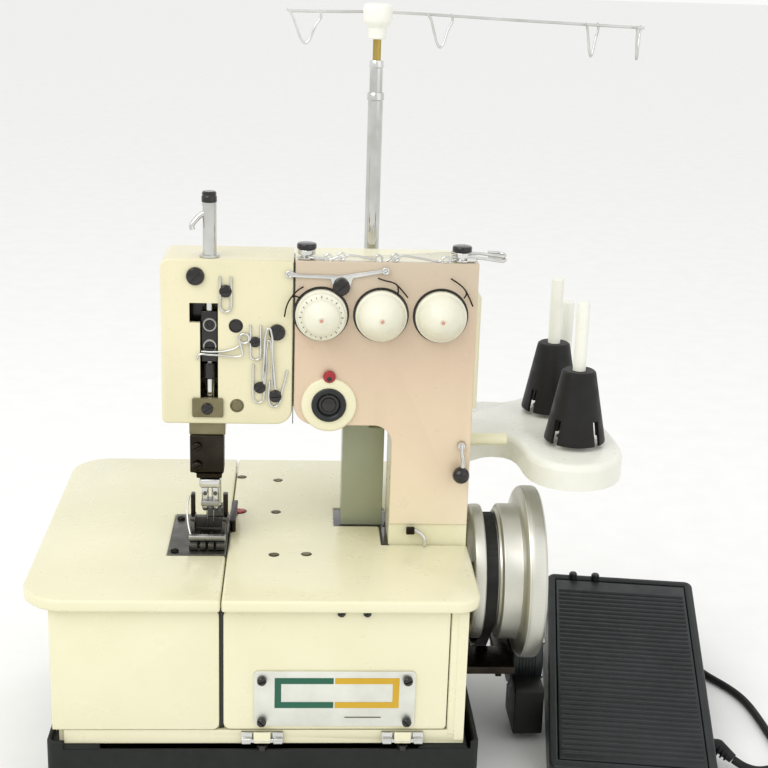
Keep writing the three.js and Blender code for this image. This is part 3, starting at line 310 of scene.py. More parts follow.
def loft(bm, rings, closed=False, caps=True):
    """Joins rings of points into a skin, capping its ends or closing it on itself."""
    loops = [[bm.verts.new(p) for p in ring] for ring in rings]
    pairs = list(zip(loops, loops[1:])) + ([(loops[-1], loops[0])] if closed else [])
    for a, b in pairs:
        for i in range(len(a)):
            j = (i + 1) % len(a)
            bm.faces.new((a[i], a[j], b[j], b[i]))
    if caps and not closed:
        bm.faces.new(loops[0][::-1])
        bm.faces.new(loops[-1])


def revolve(profile, axis, centre, segments=72):
    """Rings of a profile of (radius, place along the axis) points turned round an axis."""
    rings = []
    for radius, along in profile:
        ring = []
        for i in range(segments):
            turn = 2 * math.pi * i / segments
            u = radius * math.cos(turn)
            v = radius * math.sin(turn)
            if axis == "x":
                ring.append((along, centre[0] + u, centre[1] + v))
            elif axis == "y":
                ring.append((centre[0] + u, along, centre[1] + v))
            else:
                ring.append((centre[0] + u, centre[1] + v, along))
        rings.append(ring)
    return rings


def turned(name, axis, centre, profile, material, body="machine", nodes=(), closed=False, segments=72,
        sharp=32):
    bm = bmesh.new()
    loft(bm, revolve(profile, axis, centre, segments), closed)
    to_row(bm)
    return solid(name, bm, material, body, nodes, sharp)


def rounded(x0, x1, y0, y1, radius, steps=6):
    """The outline of a rectangle with round corners."""
    points = []
    corners = [(x1 - radius, y0 + radius, -90), (x1 - radius, y1 - radius, 0),
        (x0 + radius, y1 - radius, 90), (x0 + radius, y0 + radius, 180)]
    for cx, cy, start in corners:
        for i in range(steps + 1):
            angle = math.radians(start + 90 * i / steps)
            points.append((cx + radius * math.cos(angle), cy + radius * math.sin(angle)))
    return points


def spaced(outline, axis, along):
    """Points of a flat outline, set across an axis at one place along it."""
    if axis == "x":
        return [(along, u, v) for u, v in outline]
    if axis == "y":
        return [(u, along, v) for u, v in outline]
    return [(u, v, along) for u, v in outline]


def soften(bm, width, angle=40, segments=3):
    """Rounds the edges that are sharper than the angle."""
    edges = [e for e in bm.edges if len(e.link_faces) == 2 and e.calc_face_angle(0) > math.radians(angle)]
    bmesh.ops.bevel(bm, geom=edges, offset=width, segments=segments, profile=0.5, affect="EDGES",
        clamp_overlap=True)


def prism(name, outline, axis, start, end, material, body="machine", nodes=(), bevel=0.4):
    """A flat outline given a thickness along an axis, with softened edges."""
    bm = bmesh.new()
    loft(bm, [spaced(outline, axis, start), spaced(outline, axis, end)])
    bmesh.ops.recalc_face_normals(bm, faces=bm.faces)
    if bevel:
        soften(bm, bevel)
    to_row(bm)
    return solid(name, bm, material, body, nodes)


def block(name, low, high, material, body="machine", nodes=(), bevel=0.6, corner=0.8):
    outline = rounded(low[0], high[0], low[1], high[1], corner, 4)
    return prism(name, outline, "z", low[2], high[2], material, body, nodes, bevel)


def wire(name, points, radius, material, body="machine", nodes=(), cyclic=False):
    """A bent round wire through the points."""
    curve = bpy.data.curves.new(name, "CURVE")
    curve.dimensions = "3D"
    curve.bevel_depth = radius * MM
    curve.bevel_resolution = 3
    curve.resolution_u = 6
    curve.use_fill_caps = True
    spline = curve.splines.new("BEZIER")
    spline.bezier_points.add(len(points) - 1)
    for point, place in zip(spline.bezier_points, points):
        point.co = at(*place)
        point.handle_left_type = point.handle_right_type = "AUTO"
    spline.use_cyclic_u = cyclic
    return dressed(bpy.data.objects.new(name, curve), material, body, nodes)


def refined(node, material, width=0, where=None):
    """A copy of a CAD node with clean faces and chosen edges rounded."""
    bm = bmesh.new()
    bm.from_mesh(frame["nodes"][node].data)
    bmesh.ops.remove_doubles(bm, verts=bm.verts, dist=1e-6)
    bmesh.ops.dissolve_limit(bm, angle_limit=math.radians(0.5), verts=bm.verts, edges=bm.edges)
    if width:
        edges = []
        for edge in bm.edges:
            if len(edge.link_faces) != 2 or edge.calc_face_angle(0) < math.radians(40):
                continue
            middle = ((edge.verts[0].co + edge.verts[1].co) / 2 - ORIGIN) / MM
            if where is None or where(middle):
                edges.append(edge)
        bmesh.ops.bevel(bm, geom=edges, offset=width * MM, segments=3, profile=0.5, affect="EDGES",
            clamp_overlap=False)
    name = f"{node}_skin"
    return solid(name, bm, material, body_of(frame["nodes"][node])[0], [node])


def cut(obj, cutter):
    """The mesh of an object with a bmesh taken out of it."""
    tool = bpy.data.objects.new("cutter", shaded(cutter, "cutter"))
    bpy.context.collection.objects.link(tool)
    knife = obj.modifiers.new("knife", "BOOLEAN")
    knife.operation = "DIFFERENCE"
    knife.object = tool
    mesh = bpy.data.meshes.new_from_object(obj.evaluated_get(bpy.context.evaluated_depsgraph_get()))
    obj.modifiers.clear()
    bpy.data.objects.remove(tool)
    return mesh


def finished(mesh, name):
    mesh.name = name
    mesh.shade_smooth()
    mesh.set_sharp_from_angle(angle=math.radians(32))
    return mesh


SCREW_PROFILE = [(0.55, -0.1), (1, 0), (1, 0.35), (0.93, 0.5), (0.7, 0.62), (0.35, 0.68)]


def screw(name, place, axis, radius, material, body="machine", height=1.0, slot_turn=0.5):
    """A round-headed screw with a slot, standing on a face that looks along the axis."""
    bm = bmesh.new()
    loft(bm, revolve([(r, a) for r, a in SCREW_PROFILE], "z", (0, 0), 28))
    cutter = bmesh.new()
    bmesh.ops.create_cube(cutter, size=1)
    bmesh.ops.scale(cutter, vec=(2.4, 0.24, 0.6), verts=cutter.verts)
    bmesh.ops.translate(cutter, vec=(0, 0, 0.72), verts=cutter.verts)
    head = bpy.data.objects.new(name, shaded(bm, name))
    bpy.context.collection.objects.link(head)
    slotted = cut(head, cutter)
    facing = Vector(axis).to_track_quat("Z", "Y").to_matrix().to_4x4()
    size = Matrix.Diagonal((radius * MM, radius * MM, radius * height * MM, 1))
    slotted.transform(Matrix.Translation(at(*place)) @ facing @ Matrix.Rotation(slot_turn, 4, "Z") @ size)
    head.data = finished(slotted, name)
    return dressed(head, material, body)


# ---------------------------------------------------------------- cords
CORD_RADIUS = 3.25
RELIEF_END = (380.9, 93.2, 10.4)
ON_FLOOR = 3.7
PEDAL_ROUTE = [RELIEF_END, (386.9, 89.9, 7.1), (393.3, 88, 4.9), (399.4, 87.4, 3.9)]
PEDAL_ROUTE += [(x, y, ON_FLOOR) for x, y in ((405, 87.9), (411.7, 90), (417.7, 93.8), (422.4, 99),
    (425.7, 105.3), (427.2, 112.1), (427.4, 121), (426, 150), (425, 180), (422, 203), (415, 222),
    (406, 237), (398, 251), (394, 267), (391, 285), (383, 303), (367, 320), (342, 333), (312, 343),
    (282, 356), (254, 374), (228, 393), (200, 410), (170, 421), (142, 424))]
RETURN_ROUTE = [(142, 352, 8.9), (168, 351, 3.9), (196, 346, 3.7), (219, 334, 3.7), (235, 314, 3.7),
    (241, 290, 3.7), (238, 262, 3.7), (231, 235, 5), (224.5, 213, 9), (221.5, 195, 14), (221.5, 176, 16),]
COIL_MIDDLE = (113, 388)
COIL_TURNS = 3.5
COIL_STEP = 18  # degrees between the coil's points
OUTER_TURN = 39.25
TURN_PITCH = 6.9
LOWER_LAYER, UPPER_LAYER = 3.65, 10.15


def eased(value, start, end):
    share = min(1, max(0, (value - start) / (end - start)))
    return share * share * (3 - 2 * share)


def coil_turns():
    """Turns that wind inwards along the floor, climb, and wind outwards again on top of themselves."""
    outside_curve = 1 + math.radians(COIL_STEP) ** 2 / 6  # the smooth curve runs inside its points
    middle = COIL_TURNS * 180
    points = []
    for wound in range(0, round(2 * middle) + 1, COIL_STEP):
        inward = (math.hypot(middle, 70) - math.hypot(wound - middle, 70)) / 360
        radius = (OUTER_TURN - TURN_PITCH * inward) * outside_curve
        height = LOWER_LAYER + (UPPER_LAYER - LOWER_LAYER) * eased(wound, middle - 75, middle + 75)
        angle = math.radians(90 + wound)
        points.append((COIL_MIDDLE[0] + radius * math.cos(angle), COIL_MIDDLE[1] + radius * math.sin(angle),
            height))
    return points


def make_pedal_cord():
    """One smooth lead: from the pedal along the floor, round the coil and back under the motor."""
    curve = bpy.data.curves.new("pedal_lead", "CURVE")
    curve.dimensions = "3D"
    curve.bevel_depth = CORD_RADIUS * MM
    curve.bevel_resolution = 5
    curve.resolution_u = 5
    curve.use_fill_caps = True
    points = PEDAL_ROUTE + coil_turns() + RETURN_ROUTE
    spline = curve.splines.new("NURBS")
    spline.points.add(len(points) - 1)
    for point, (x, y, z) in zip(spline.points, points):
        point.co = (*at(x, y, z + TABLE), 1)
    spline.order_u = 4
    spline.use_endpoint_u = True
    cable = dressed(bpy.data.objects.new("pedal_lead", curve), "rubber", "machine", ["pedal_cord",
        "cord_coil", "pedal_cord_return"])


make_pedal_cord()


# ---------------------------------------------------------------- bed, covers and tray
FRONT = (0, -1, 0)
UP = (0, 0, 1)


def make_bed():
    refined("left_cloth_plate", "cream", 2.2)
    refined("right_cloth_plate", "cream", 2.2)
    refined("left_cover", "cream", 1.0)
    refined("front_cover", "cream", 1.0)
    refined("main_frame", "cream")
    refined("base_tray", "tray", 1.0)
    for end in ("front", "rear"):
        for side in ("left", "right"):
            refined(f"rubber_foot_{end}_{side}", "rubber", 0.8)
    refined("throat_plate", "dark_steel", 0.5)
    refined("feed_dog", "steel")
    refined("looper", "steel")
    refined("main_shaft", "steel")
    refined("main_bearing", "brass")
    for number, (x, y) in enumerate([(-16, 245), (14.5, 238), (14, 166), (14, 81), (38, 82.6)]):
        countersunk(f"bed_screw_{number}", (x, y, 0), 3.0, "bracket")
    countersunk("bed_screw_red", (-15.3, 167, 0), 4.6, "red")
    for number, y in enumerate((86, 150)):
        screw(f"throat_screw_{number}", (-59.5, y, 0.0), UP, 3.1, "burnished", "machine", 1.0, 0.8)
    for number, x in enumerate((62.5, 80.5)):
        screw(f"rail_screw_{number}", (x, 7, -11.4), FRONT, 2.9, "gloss_black", "front_door", 1.2, 0.4)
    # painted shade: a black strip in the slit between the left and front covers, for the shade inside it
    block("cover_gap_shade_strip", (-22.6, 10.3, -103), (-19.2, 11.4, -10), "gloss_black", bevel=0.2)
    block("corner_post", (139.7, 7.4, -108), (151.8, 12.8, -9.6), "cream", bevel=1.8, corner=2)
    # painted shade: black blocks under the cloth plate's slot round the rear column, for the shade in the gap
    block("slot_shade_back", (59.4, 138.5, -8.8), (100.5, 182, -1.0), "gloss_black", bevel=0.2)
    block("slot_shade_side", (94.4, 98.5, -8.8), (100.8, 139.5, -1.0), "gloss_black", bevel=0.2)
    wire("latch_clip", [(116.5, 101.4, 12.6), (119.8, 100.6, 12.4), (122.6, 99.6, 10.8), (126, 98.6, 7.6),
        (127.2, 98, 3.6), (127.1, 97.8, 0.9)], 1.5, "chrome")
    # painted shade: a black-oxide block at the clip's top, for the dark shade seen there
    block("latch_shade_block", (113, 98.8, 9.2), (119.4, 102.8, 14.4), "burnished", bevel=0.6)


def countersunk(name, place, radius, material):
    """A flat-headed screw let into the bed: a thin collar round a slotted head."""
    x, y, z = place
    body = "side_door" if x < -22 else "machine"
    rim = [(radius * 0.98, z - 0.05), (radius * 1.08, z + 0.12), (radius * 1.35, z + 0.02),
        (radius * 1.35, z - 0.2), (radius * 0.98, z - 0.2)]
    turned(f"{name}_collar", "z", (x, y), rim, "burnished", body, closed=True, segments=32)
    screw(f"{name}_head", place, UP, radius, material, body, 0.35, x * 0.7)


def make_front_plate():
    refined("name_plate", "plate", 0.25)
    front = 5.25
    for side, x in (("left", 7.5), ("right", 110.5)):
        for level, z in (("low", -95), ("high", -62.5)):
            screw(f"plate_screw_{side}_{level}", (x, front, z), FRONT, 3.4, "gloss_black", "front_door",
                1.9, z)
    half = (("left", "green", 16.5, 58), ("right", "yellow", 59, 104.5))
    for side, ink, x0, x1 in half:
        frame_half(f"plate_frame_{side}", x0, x1, -84.5, -61.0, side, ink, front)
    prism("plate_label", rounded(66, 92, -92.2, -91.6, 0.2, 2), "y", front - 0.15, front, "ink",
        "front_door", bevel=0)


def frame_half(name, x0, x1, z0, z1, side, ink, front):
    """Half of a printed frame: a C of flat bars round a blank field."""
    bar = 4.6
    inner = (x0 + bar, x1, z0 + bar, z1 - bar) if side == "left" else (x0, x1 - bar, z0 + bar, z1 - bar)
    a, b, c, d = inner
    if side == "left":
        outline = [(x1, z0), (x1, c), (a, c), (a, d), (x1, d), (x1, z1), (x0, z1), (x0, z0)]
    else:
        outline = [(x0, z0), (x1, z0), (x1, z1), (x0, z1), (x0, d), (b, d), (b, c), (x0, c)]
    prism(name, outline, "y", front - 0.18, front, ink, "front_door", bevel=0)


def make_hinges():
    for side, x in (("left", -7), ("right", 93)):
        refined(f"cover_hinge_{side}", "chrome", 0.4)
        for number, left in enumerate((x + 0.4, x + 22.8)):
            turned(f"hinge_{side}_knuckle_{number}", "x", (4.2, -110), [(0.1, left), (2.3, left),
                (2.6, left + 0.3), (2.6, left + 6.5), (2.3, left + 6.8), (0.1, left + 6.8)], "chrome",
                segments=24)
        block(f"hinge_{side}_leaf", (x + 9, 2.9, -111.6), (x + 21, 4.9, -103.2), "cream", "front_door")
        turned(f"hinge_{side}_nut", "z", (x + 15, 4.0), [(0.1, -116.8), (3.6, -116.8), (4.2, -116.2),
            (4.2, -113.4), (3.6, -112.8), (0.1, -112.8)], "gloss_black", segments=6, sharp=20)


make_bed()
make_front_plate()
make_hinges()


# ---------------------------------------------------------------- handwheel, belt and motor
SHAFT_Y, SHAFT_Z = 145, -40
MOTOR_Y, MOTOR_Z = 185, -130.2
BELT_PITCH = 5.08
WHEEL_TEETH, MOTOR_TEETH = 56, 11
WHEEL_PITCH_RADIUS = WHEEL_TEETH * BELT_PITCH / (2 * math.pi)
MOTOR_PITCH_RADIUS = MOTOR_TEETH * BELT_PITCH / (2 * math.pi)


def make_wheel():
    axis = (SHAFT_Y, SHAFT_Z)
    turned("wheel_rim", "x", axis, [(7.05, 170.5), (44, 170.5), (48, 166.8), (51.2, 166.6), (52.6, 167.4),
        (53, 168.8), (53, 174.6), (52.4, 175.5), (43.9, 175.5), (43.9, 186.5), (48.6, 186.5), (49.2, 188),
        (50, 188.6), (52.4, 188.7), (53.3, 189.3), (53.5, 190.4), (53.5, 202.6), (53.9, 203.5),
        (62.5, 203.9), (65.2, 204.9), (67.1, 206.6), (67.9, 208.8), (68, 211), (68, 217), (67.5, 219),
        (66.2, 220.2), (64.6, 220.5), (60.5, 220.5), (59.4, 219.7), (59, 218.4), (57.4, 212), (56, 210.6),
        (22, 206.6), (20.4, 206.8), (19.4, 208.6), (17.4, 213.6), (16.6, 214.5), (7.05, 214.5)], "wheel",
        "drive_wheel", ["handwheel"], True, 128, 24)
    turned("wheel_cap", "x", axis, [(0.1, 212.4), (6.6, 212.4), (6.6, 215.4), (5.6, 216.2), (0.1, 216.4)],
        "steel", "drive_wheel", segments=32)
    screw("wheel_set_screw", (216.2, SHAFT_Y, SHAFT_Z), (1, 0, 0), 4.4, "burnished", "drive_wheel", 1.2)
    for number in range(3):
        angle = 2 * math.pi * number / 3 + 0.5
        place = (209.2, SHAFT_Y + 38 * math.cos(angle), SHAFT_Z + 38 * math.sin(angle))
        screw(f"wheel_hub_screw_{number}", place, (1, 0, 0), 3.2, "dark_steel", "drive_wheel", 1.6)


def belt_path(outside, count):
    """Points round both pulleys, as far outside their pitch circles as asked, evenly spaced."""
    big = WHEEL_PITCH_RADIUS + outside
    small = MOTOR_PITCH_RADIUS + outside
    dy, dz = MOTOR_Y - SHAFT_Y, MOTOR_Z - SHAFT_Z
    gap = math.hypot(dy, dz)
    down = math.atan2(dz, dy)
    lean = math.acos((big - small) / gap)
    points = []
    for i in range(count + 1):
        turn = down + lean + (2 * math.pi - 2 * lean) * i / count
        points.append((SHAFT_Y + big * math.cos(turn), SHAFT_Z + big * math.sin(turn)))
    for i in range(count // 3 + 1):
        turn = down - lean + 2 * lean * i / (count // 3)
        points.append((MOTOR_Y + small * math.cos(turn), MOTOR_Z + small * math.sin(turn)))
    return points


def make_belt():
    left, right = 176.4, 185.5
    outer = belt_path(1.05, 120)
    inner = belt_path(-0.35, 120)
    rings = [[(left, *o), (right, *o), (right, *i), (left, *i)] for o, i in zip(outer, inner)]
    bm = bmesh.new()
    loft(bm, rings, closed=True, caps=False)
    to_row(bm)
    solid("belt_band", bm, "belt", "machine", ["timing_belt"])
    teeth = bmesh.new()
    down = math.atan2(MOTOR_Z - SHAFT_Z, MOTOR_Y - SHAFT_Y)
    for number in range(WHEEL_TEETH):
        angle = 2 * math.pi * number / WHEEL_TEETH
        past_contact = (angle - down + math.pi) % (2 * math.pi) - math.pi
        if not -2.62 < past_contact < 0.0:
            belt_tooth(teeth, left, right, angle, WHEEL_PITCH_RADIUS + 1.0)
    to_row(teeth)
    solid("belt_ribs", teeth, "belt")


def belt_tooth(bm, left, right, angle, radius):
    """A low rib across the belt's back where it runs round the large pulley."""
    rings = []
    for spread, height in ((-0.016, 0), (-0.009, 0.35), (0.009, 0.35), (0.016, 0)):
        r = radius + height
        y = SHAFT_Y + r * math.cos(angle + spread)
        z = SHAFT_Z + r * math.sin(angle + spread)
        rings.append((y, z))
    loft(bm, [[(left, y, z) for y, z in rings], [(right, y, z) for y, z in rings]])


def make_motor():
    axis = (MOTOR_Y, MOTOR_Z)
    refined("motor_pulley", "steel")
    refined("motor_bracket", "burnished", 0.8)
    refined("terminal_box", "black", 1.2)
    profile = [(5, 202.3), (17.6, 202.3), (18, 202.8), (19.6, 207), (24, 208.4), (26.6, 208.9),
        (28.4, 210.6), (29, 213)]
    for number in range(6):
        left = 214.2 + 2.6 * number
        profile += [(29, left), (28.2, left + 0.3), (28.2, left + 1.0), (29, left + 1.3)]
    profile += [(29, 231.2), (28.2, 233.4), (26.2, 235), (24, 235.5), (8, 235.5), (7.4, 234.7),
        (0.1, 234.6), (0.1, 209), (5, 209)]
    turned("motor_shell", "x", axis, profile, "charcoal", "machine", ["motor_body"], True, 64)
    for number in range(4):
        angle = math.pi / 4 + math.pi / 2 * number
        place = (235.4, MOTOR_Y + 22 * math.cos(angle), MOTOR_Z + 22 * math.sin(angle))
        screw(f"motor_screw_{number}", place, (1, 0, 0), 2.4, "steel", "machine", 1.4)


make_wheel()
make_belt()
make_motor()


# ---------------------------------------------------------------- arm, head and column
FACE = 103  # the front of the arm's covers


def make_arm():
    refined("arm_casting", "cream", 2.0, lambda p: p.y > 150 and p.z > 90 and (p.x < 20 or p.x > 140))
    refined("arm_front_cover", "blush", 0.8, lambda p: p.y < FACE + 1)
    refined("face_cover", "shell", 1.6,
        lambda p: p.y < FACE + 0.5 and not (-52 < p.x < -22 and 106 < p.z < 188))
    refined("rear_column", "olive", 0.8)
    for name, x, z, radius, material in (("dark", -15.2, 168.5, 4.8, "gloss_black"),
            ("brown", -14.3, 108.3, 4.8, "bracket")):
        turned(f"face_hole_{name}", "y", (x, z), [(0.1, 102.2), (radius - 1.2, 102.2),
            (radius - 0.6, 102.9), (radius + 0.3, 102.75), (radius + 0.4, 103.05), (0.1, 103.05)], material,
            segments=40)
    prism("cover_seam", rounded(26.2, 26.8, 95, 216, 0.2, 2), "y", FACE - 0.1, FACE + 4, "ink", bevel=0)


def make_dials():
    for name, x in (("left", 46), ("middle", 89.2), ("right", 132.4)):
        z = 178.5
        deep = name == "left"
        skirt = [(18.1, 102.4), (18.6, 101.6), (18.6, 97.2), (18.2, 96.4), (17.6, 96.2), (17.4, 95.8)]
        dome = ([(17.0, 92.6), (16.6, 92.0), (13.6, 91.6), (13.3, 91.2), (13.1, 87.6), (12.5, 86.6),
            (10, 84.4), (6, 82.2), (3.2, 81.3)] if deep else [(16.9, 94.8), (16.2, 93.2), (14.6, 90.6),
            (12.2, 87.4), (9.2, 84.4), (6.2, 82.2), (3.2, 81.2)])
        profile = [(0.1, 110.2), (4, 110.2), (4, 102.4), *skirt, *dome, (2.5, 80.9), (2.3, 81.3),
            (0.1, 81.35)]
        turned(f"dial_{name}_cap", "y", (x, z), profile, "ivory", f"dial_{name}", [f"tension_dial_{name}"],
            sharp=50, segments=96)
        turned(f"dial_{name}_dot", "y", (x, z), [(0.1, 81.4), (1.4, 81.4), (1.3, 81.0), (0.8, 80.8),
            (0.1, 80.75)], "pink", f"dial_{name}", segments=32)
        # a black ring behind each dial: partly a dark backing disc, partly painted shade in the gap round the
        # dial's base
        turned(f"dial_{name}_gap", "y", (x, z), [(17.4, 102.5), (19.9, 102.5), (20.2, 102.9),
            (17.4, 102.9)], "gloss_black", closed=True, segments=96)
        for mark in range(24):
            dial_mark(name, x, z, mark, deep)


def dial_mark(name, x, z, mark, deep):
    """A short printed line on the dial's skirt, longer at each number."""
    angle = 2 * math.pi * mark / 24
    inner, outer = (14.2, 16.0) if deep else (16.35, 17.0)
    if mark % 3:
        outer = inner + (outer - inner) * 0.5
    y = 91.75 if deep else 94.9
    half = 0.22
    u = Vector((math.cos(angle), 0, math.sin(angle)))
    v = Vector((-math.sin(angle), 0, math.cos(angle)))
    middle = Vector((x, y, z))
    lean = Vector((0, 0 if deep else 0.6, 0))
    corners = [middle + u * inner - v * half, middle + u * inner + v * half,
        middle + u * outer + v * half + lean, middle + u * outer - v * half + lean]
    raise_by = Vector((0, -0.22, 0))
    bm = bmesh.new()
    loft(bm, [corners, [c + raise_by for c in corners]])
    to_row(bm)
    dressed(bpy.data.objects.new(f"dial_{name}_mark_{mark}", shaded(bm, "dial_mark")), "ink", f"dial_{name}")


def make_window():
    x, z = 52.8, 110.3
    turned("window_ring", "y", (x, z), [(9.6, 106), (12.6, 106), (12.8, 100.6), (12.5, 99.2), (11.6, 98.5),
        (10.2, 98.5), (8.9, 99.2), (8.2, 100.8), (7.9, 102.5), (9.6, 102.6)], "charcoal", "machine",
        ["oil_window"], True, 96, 40)
    turned("window_boss", "y", (x, z), [(12.85, 100.6), (18.6, 100.6), (19.9, 100.9), (20.5, 101.8),
        (20.5, 103.4), (12.85, 103.4)], "cream", closed=True, segments=96, sharp=50)
    turned("window_glass", "y", (x, z), [(0.1, 104), (8.6, 104), (8.6, 102.2), (7.4, 101.3), (5.6, 101.6),
        (5.0, 100.9), (3.0, 100.3), (0.1, 100.1)], "gloss_black", segments=72)
    turned("plug_button", "y", (x, 131.8), [(0.1, 106), (3.9, 106), (3.9, 102.2), (4.6, 101.6),
        (4.6, 100.4), (4.2, 99.6), (3.3, 99.1), (0.1, 99)], "red", "plug", ["oil_plug"], segments=48)
    turned("plug_core", "y", (x, 130.6), [(0.1, 99.2), (2.0, 99.2), (1.7, 98.95), (0.1, 98.9)],
        "gloss_black", "plug", segments=32)


def make_release_lever():
    pivot = (151.9, 80)
    turned("release_hub", "y", pivot, [(0.1, 107), (2.9, 107), (2.9, 99.5), (2.6, 98.9), (0.1, 98.9)],
        "chrome", "thread_release", ["release_lever"], segments=40)
    wire("release_arm", [(151.9, 99.6, 81.5), (151.9, 98.9, 79), (152.1, 98, 75), (153, 97.2, 71),
        (153.2, 96.6, 66), (152.4, 96.4, 62)], 1.5, "chrome", "thread_release")
    turned("release_ball", "y", (152, 58.2), [(0.1, 102.3), (2.6, 101.9), (4.7, 100.7), (6, 98.6),
        (6.4, 96.3), (6, 94), (4.7, 91.9), (2.6, 90.7), (0.1, 90.3)], "gloss_black", "thread_release",
        segments=56, sharp=60)


make_arm()
make_dials()
make_window()
make_release_lever()


# ---------------------------------------------------------------- face plate details
def u_clip(name, x, z_top, z_low, half, radius, material="chrome", depth=1.4, lean=0.0):
    """A hairpin of wire held flat on the face: two prongs joined by a round bend."""
    y = FACE - depth
    steps = [(x - half, z_top), (x - half, (z_top + z_low) / 2), (x - half, z_low + half)]
    for i in range(1, 6):
        angle = math.pi + math.pi * i / 6
        steps.append((x + half * math.cos(angle), z_low + half + half * math.sin(angle)))
    steps += [(x + half, z_low + half), (x + half, (z_top + z_low) / 2 + lean), (x + half + lean, z_top)]
    wire(name, [(u, y, w) for u, w in steps], radius, material)


def make_face_details():
    screw("face_screw_big", (-44, FACE, 204.7), FRONT, 6.6, "gloss_black", "machine", 0.75, 0.9)
    u_clip("clip_top", -22.4, 205, 179, 3.9, 0.9)
    screw("clip_top_screw", (-22.5, FACE - 0.6, 194.3), FRONT, 4.6, "gloss_black", "machine", 0.9, 0.2)
    screw("face_screw_right", (14.5, FACE - 0.1, 164.3), FRONT, 6.0, "gloss_black", "machine", 0.75, 1.2)
    u_clip("clip_middle", -0.9, 169.5, 143.6, 3.7, 0.8)
    screw("clip_middle_screw", (-1.3, FACE - 0.6, 157), FRONT, 3.9, "gloss_black", "machine", 0.9, 0.4)
    u_clip("clip_low_left", 1.4, 140.5, 111.2, 3.9, 0.8)
    screw("clip_low_left_screw", (2.4, FACE - 0.6, 122.7), FRONT, 4.3, "gloss_black", "machine", 0.9, 0.7)
    screw("clip_low_right_screw", (13.7, FACE - 0.9, 116.4), FRONT, 4.6, "gloss_black", "machine", 0.95, 0.1)
    y = FACE - 1.5
    wire("clip_low_right", [(22.2, y, 136), (20.2, y, 127), (18.2, y, 119.5), (16.8, y, 111.5),
        (13.6, y, 108.4), (10, y, 110), (9.1, y, 116), (9.3, y, 128)], 0.8, "chrome")
    y = FACE - 3.2
    wire("guide_wire_left", [(4.4, y + 2, 128.5), (4.9, y, 138), (5.6, y, 150), (6.6, y, 164),
        (8.6, y, 167.8), (10.6, y, 164), (11.2, y, 152), (12.2, y, 138), (13.6, y + 2, 122)], 0.85,
        "chrome")
    wire("guide_wire_right", [(6.1, y + 2.4, 126), (6.9, y + 1, 140), (7.4, y + 1, 154),
        (8.8, y + 1, 158.6), (10.2, y + 1, 154), (10.9, y + 1, 138), (11.2, y + 2.4, 124)], 0.7, "chrome")


def make_take_up_wire():
    """The needle bar's thread wire, from its block in the slot to a small coil at the right."""
    y = 101.2
    coil = []
    for i in range(19):
        angle = math.radians(200 - 40 * i)
        coil.append((-9.2 + 3.6 * math.cos(angle), y - 0.9 + 0.1 * i, 159.8 + 3.6 * math.sin(angle)))
    lead = [(-43.4, y, 143.3), (-41.5, y - 0.6, 147.1), (-34, y - 0.8, 147.3), (-24, y - 0.8, 146.9),
        (-14, y - 0.8, 146.2), (-10.6, y - 0.8, 147.6), (-10.9, y - 0.9, 152.4)]
    wire("take_up_wire", lead + coil, 0.85, "chrome", "needle_drive")
    wire("take_up_strand", [(-40, y + 0.9, 149.3), (-31.3, y + 0.4, 149.2), (-20, y + 0.3, 150.6),
        (-13.2, y + 0.3, 153.8), (-10.4, y + 0.2, 157.2)], 0.75, "chrome", "needle_drive")


NEEDLE_BAR = (-34.5, 112.5)


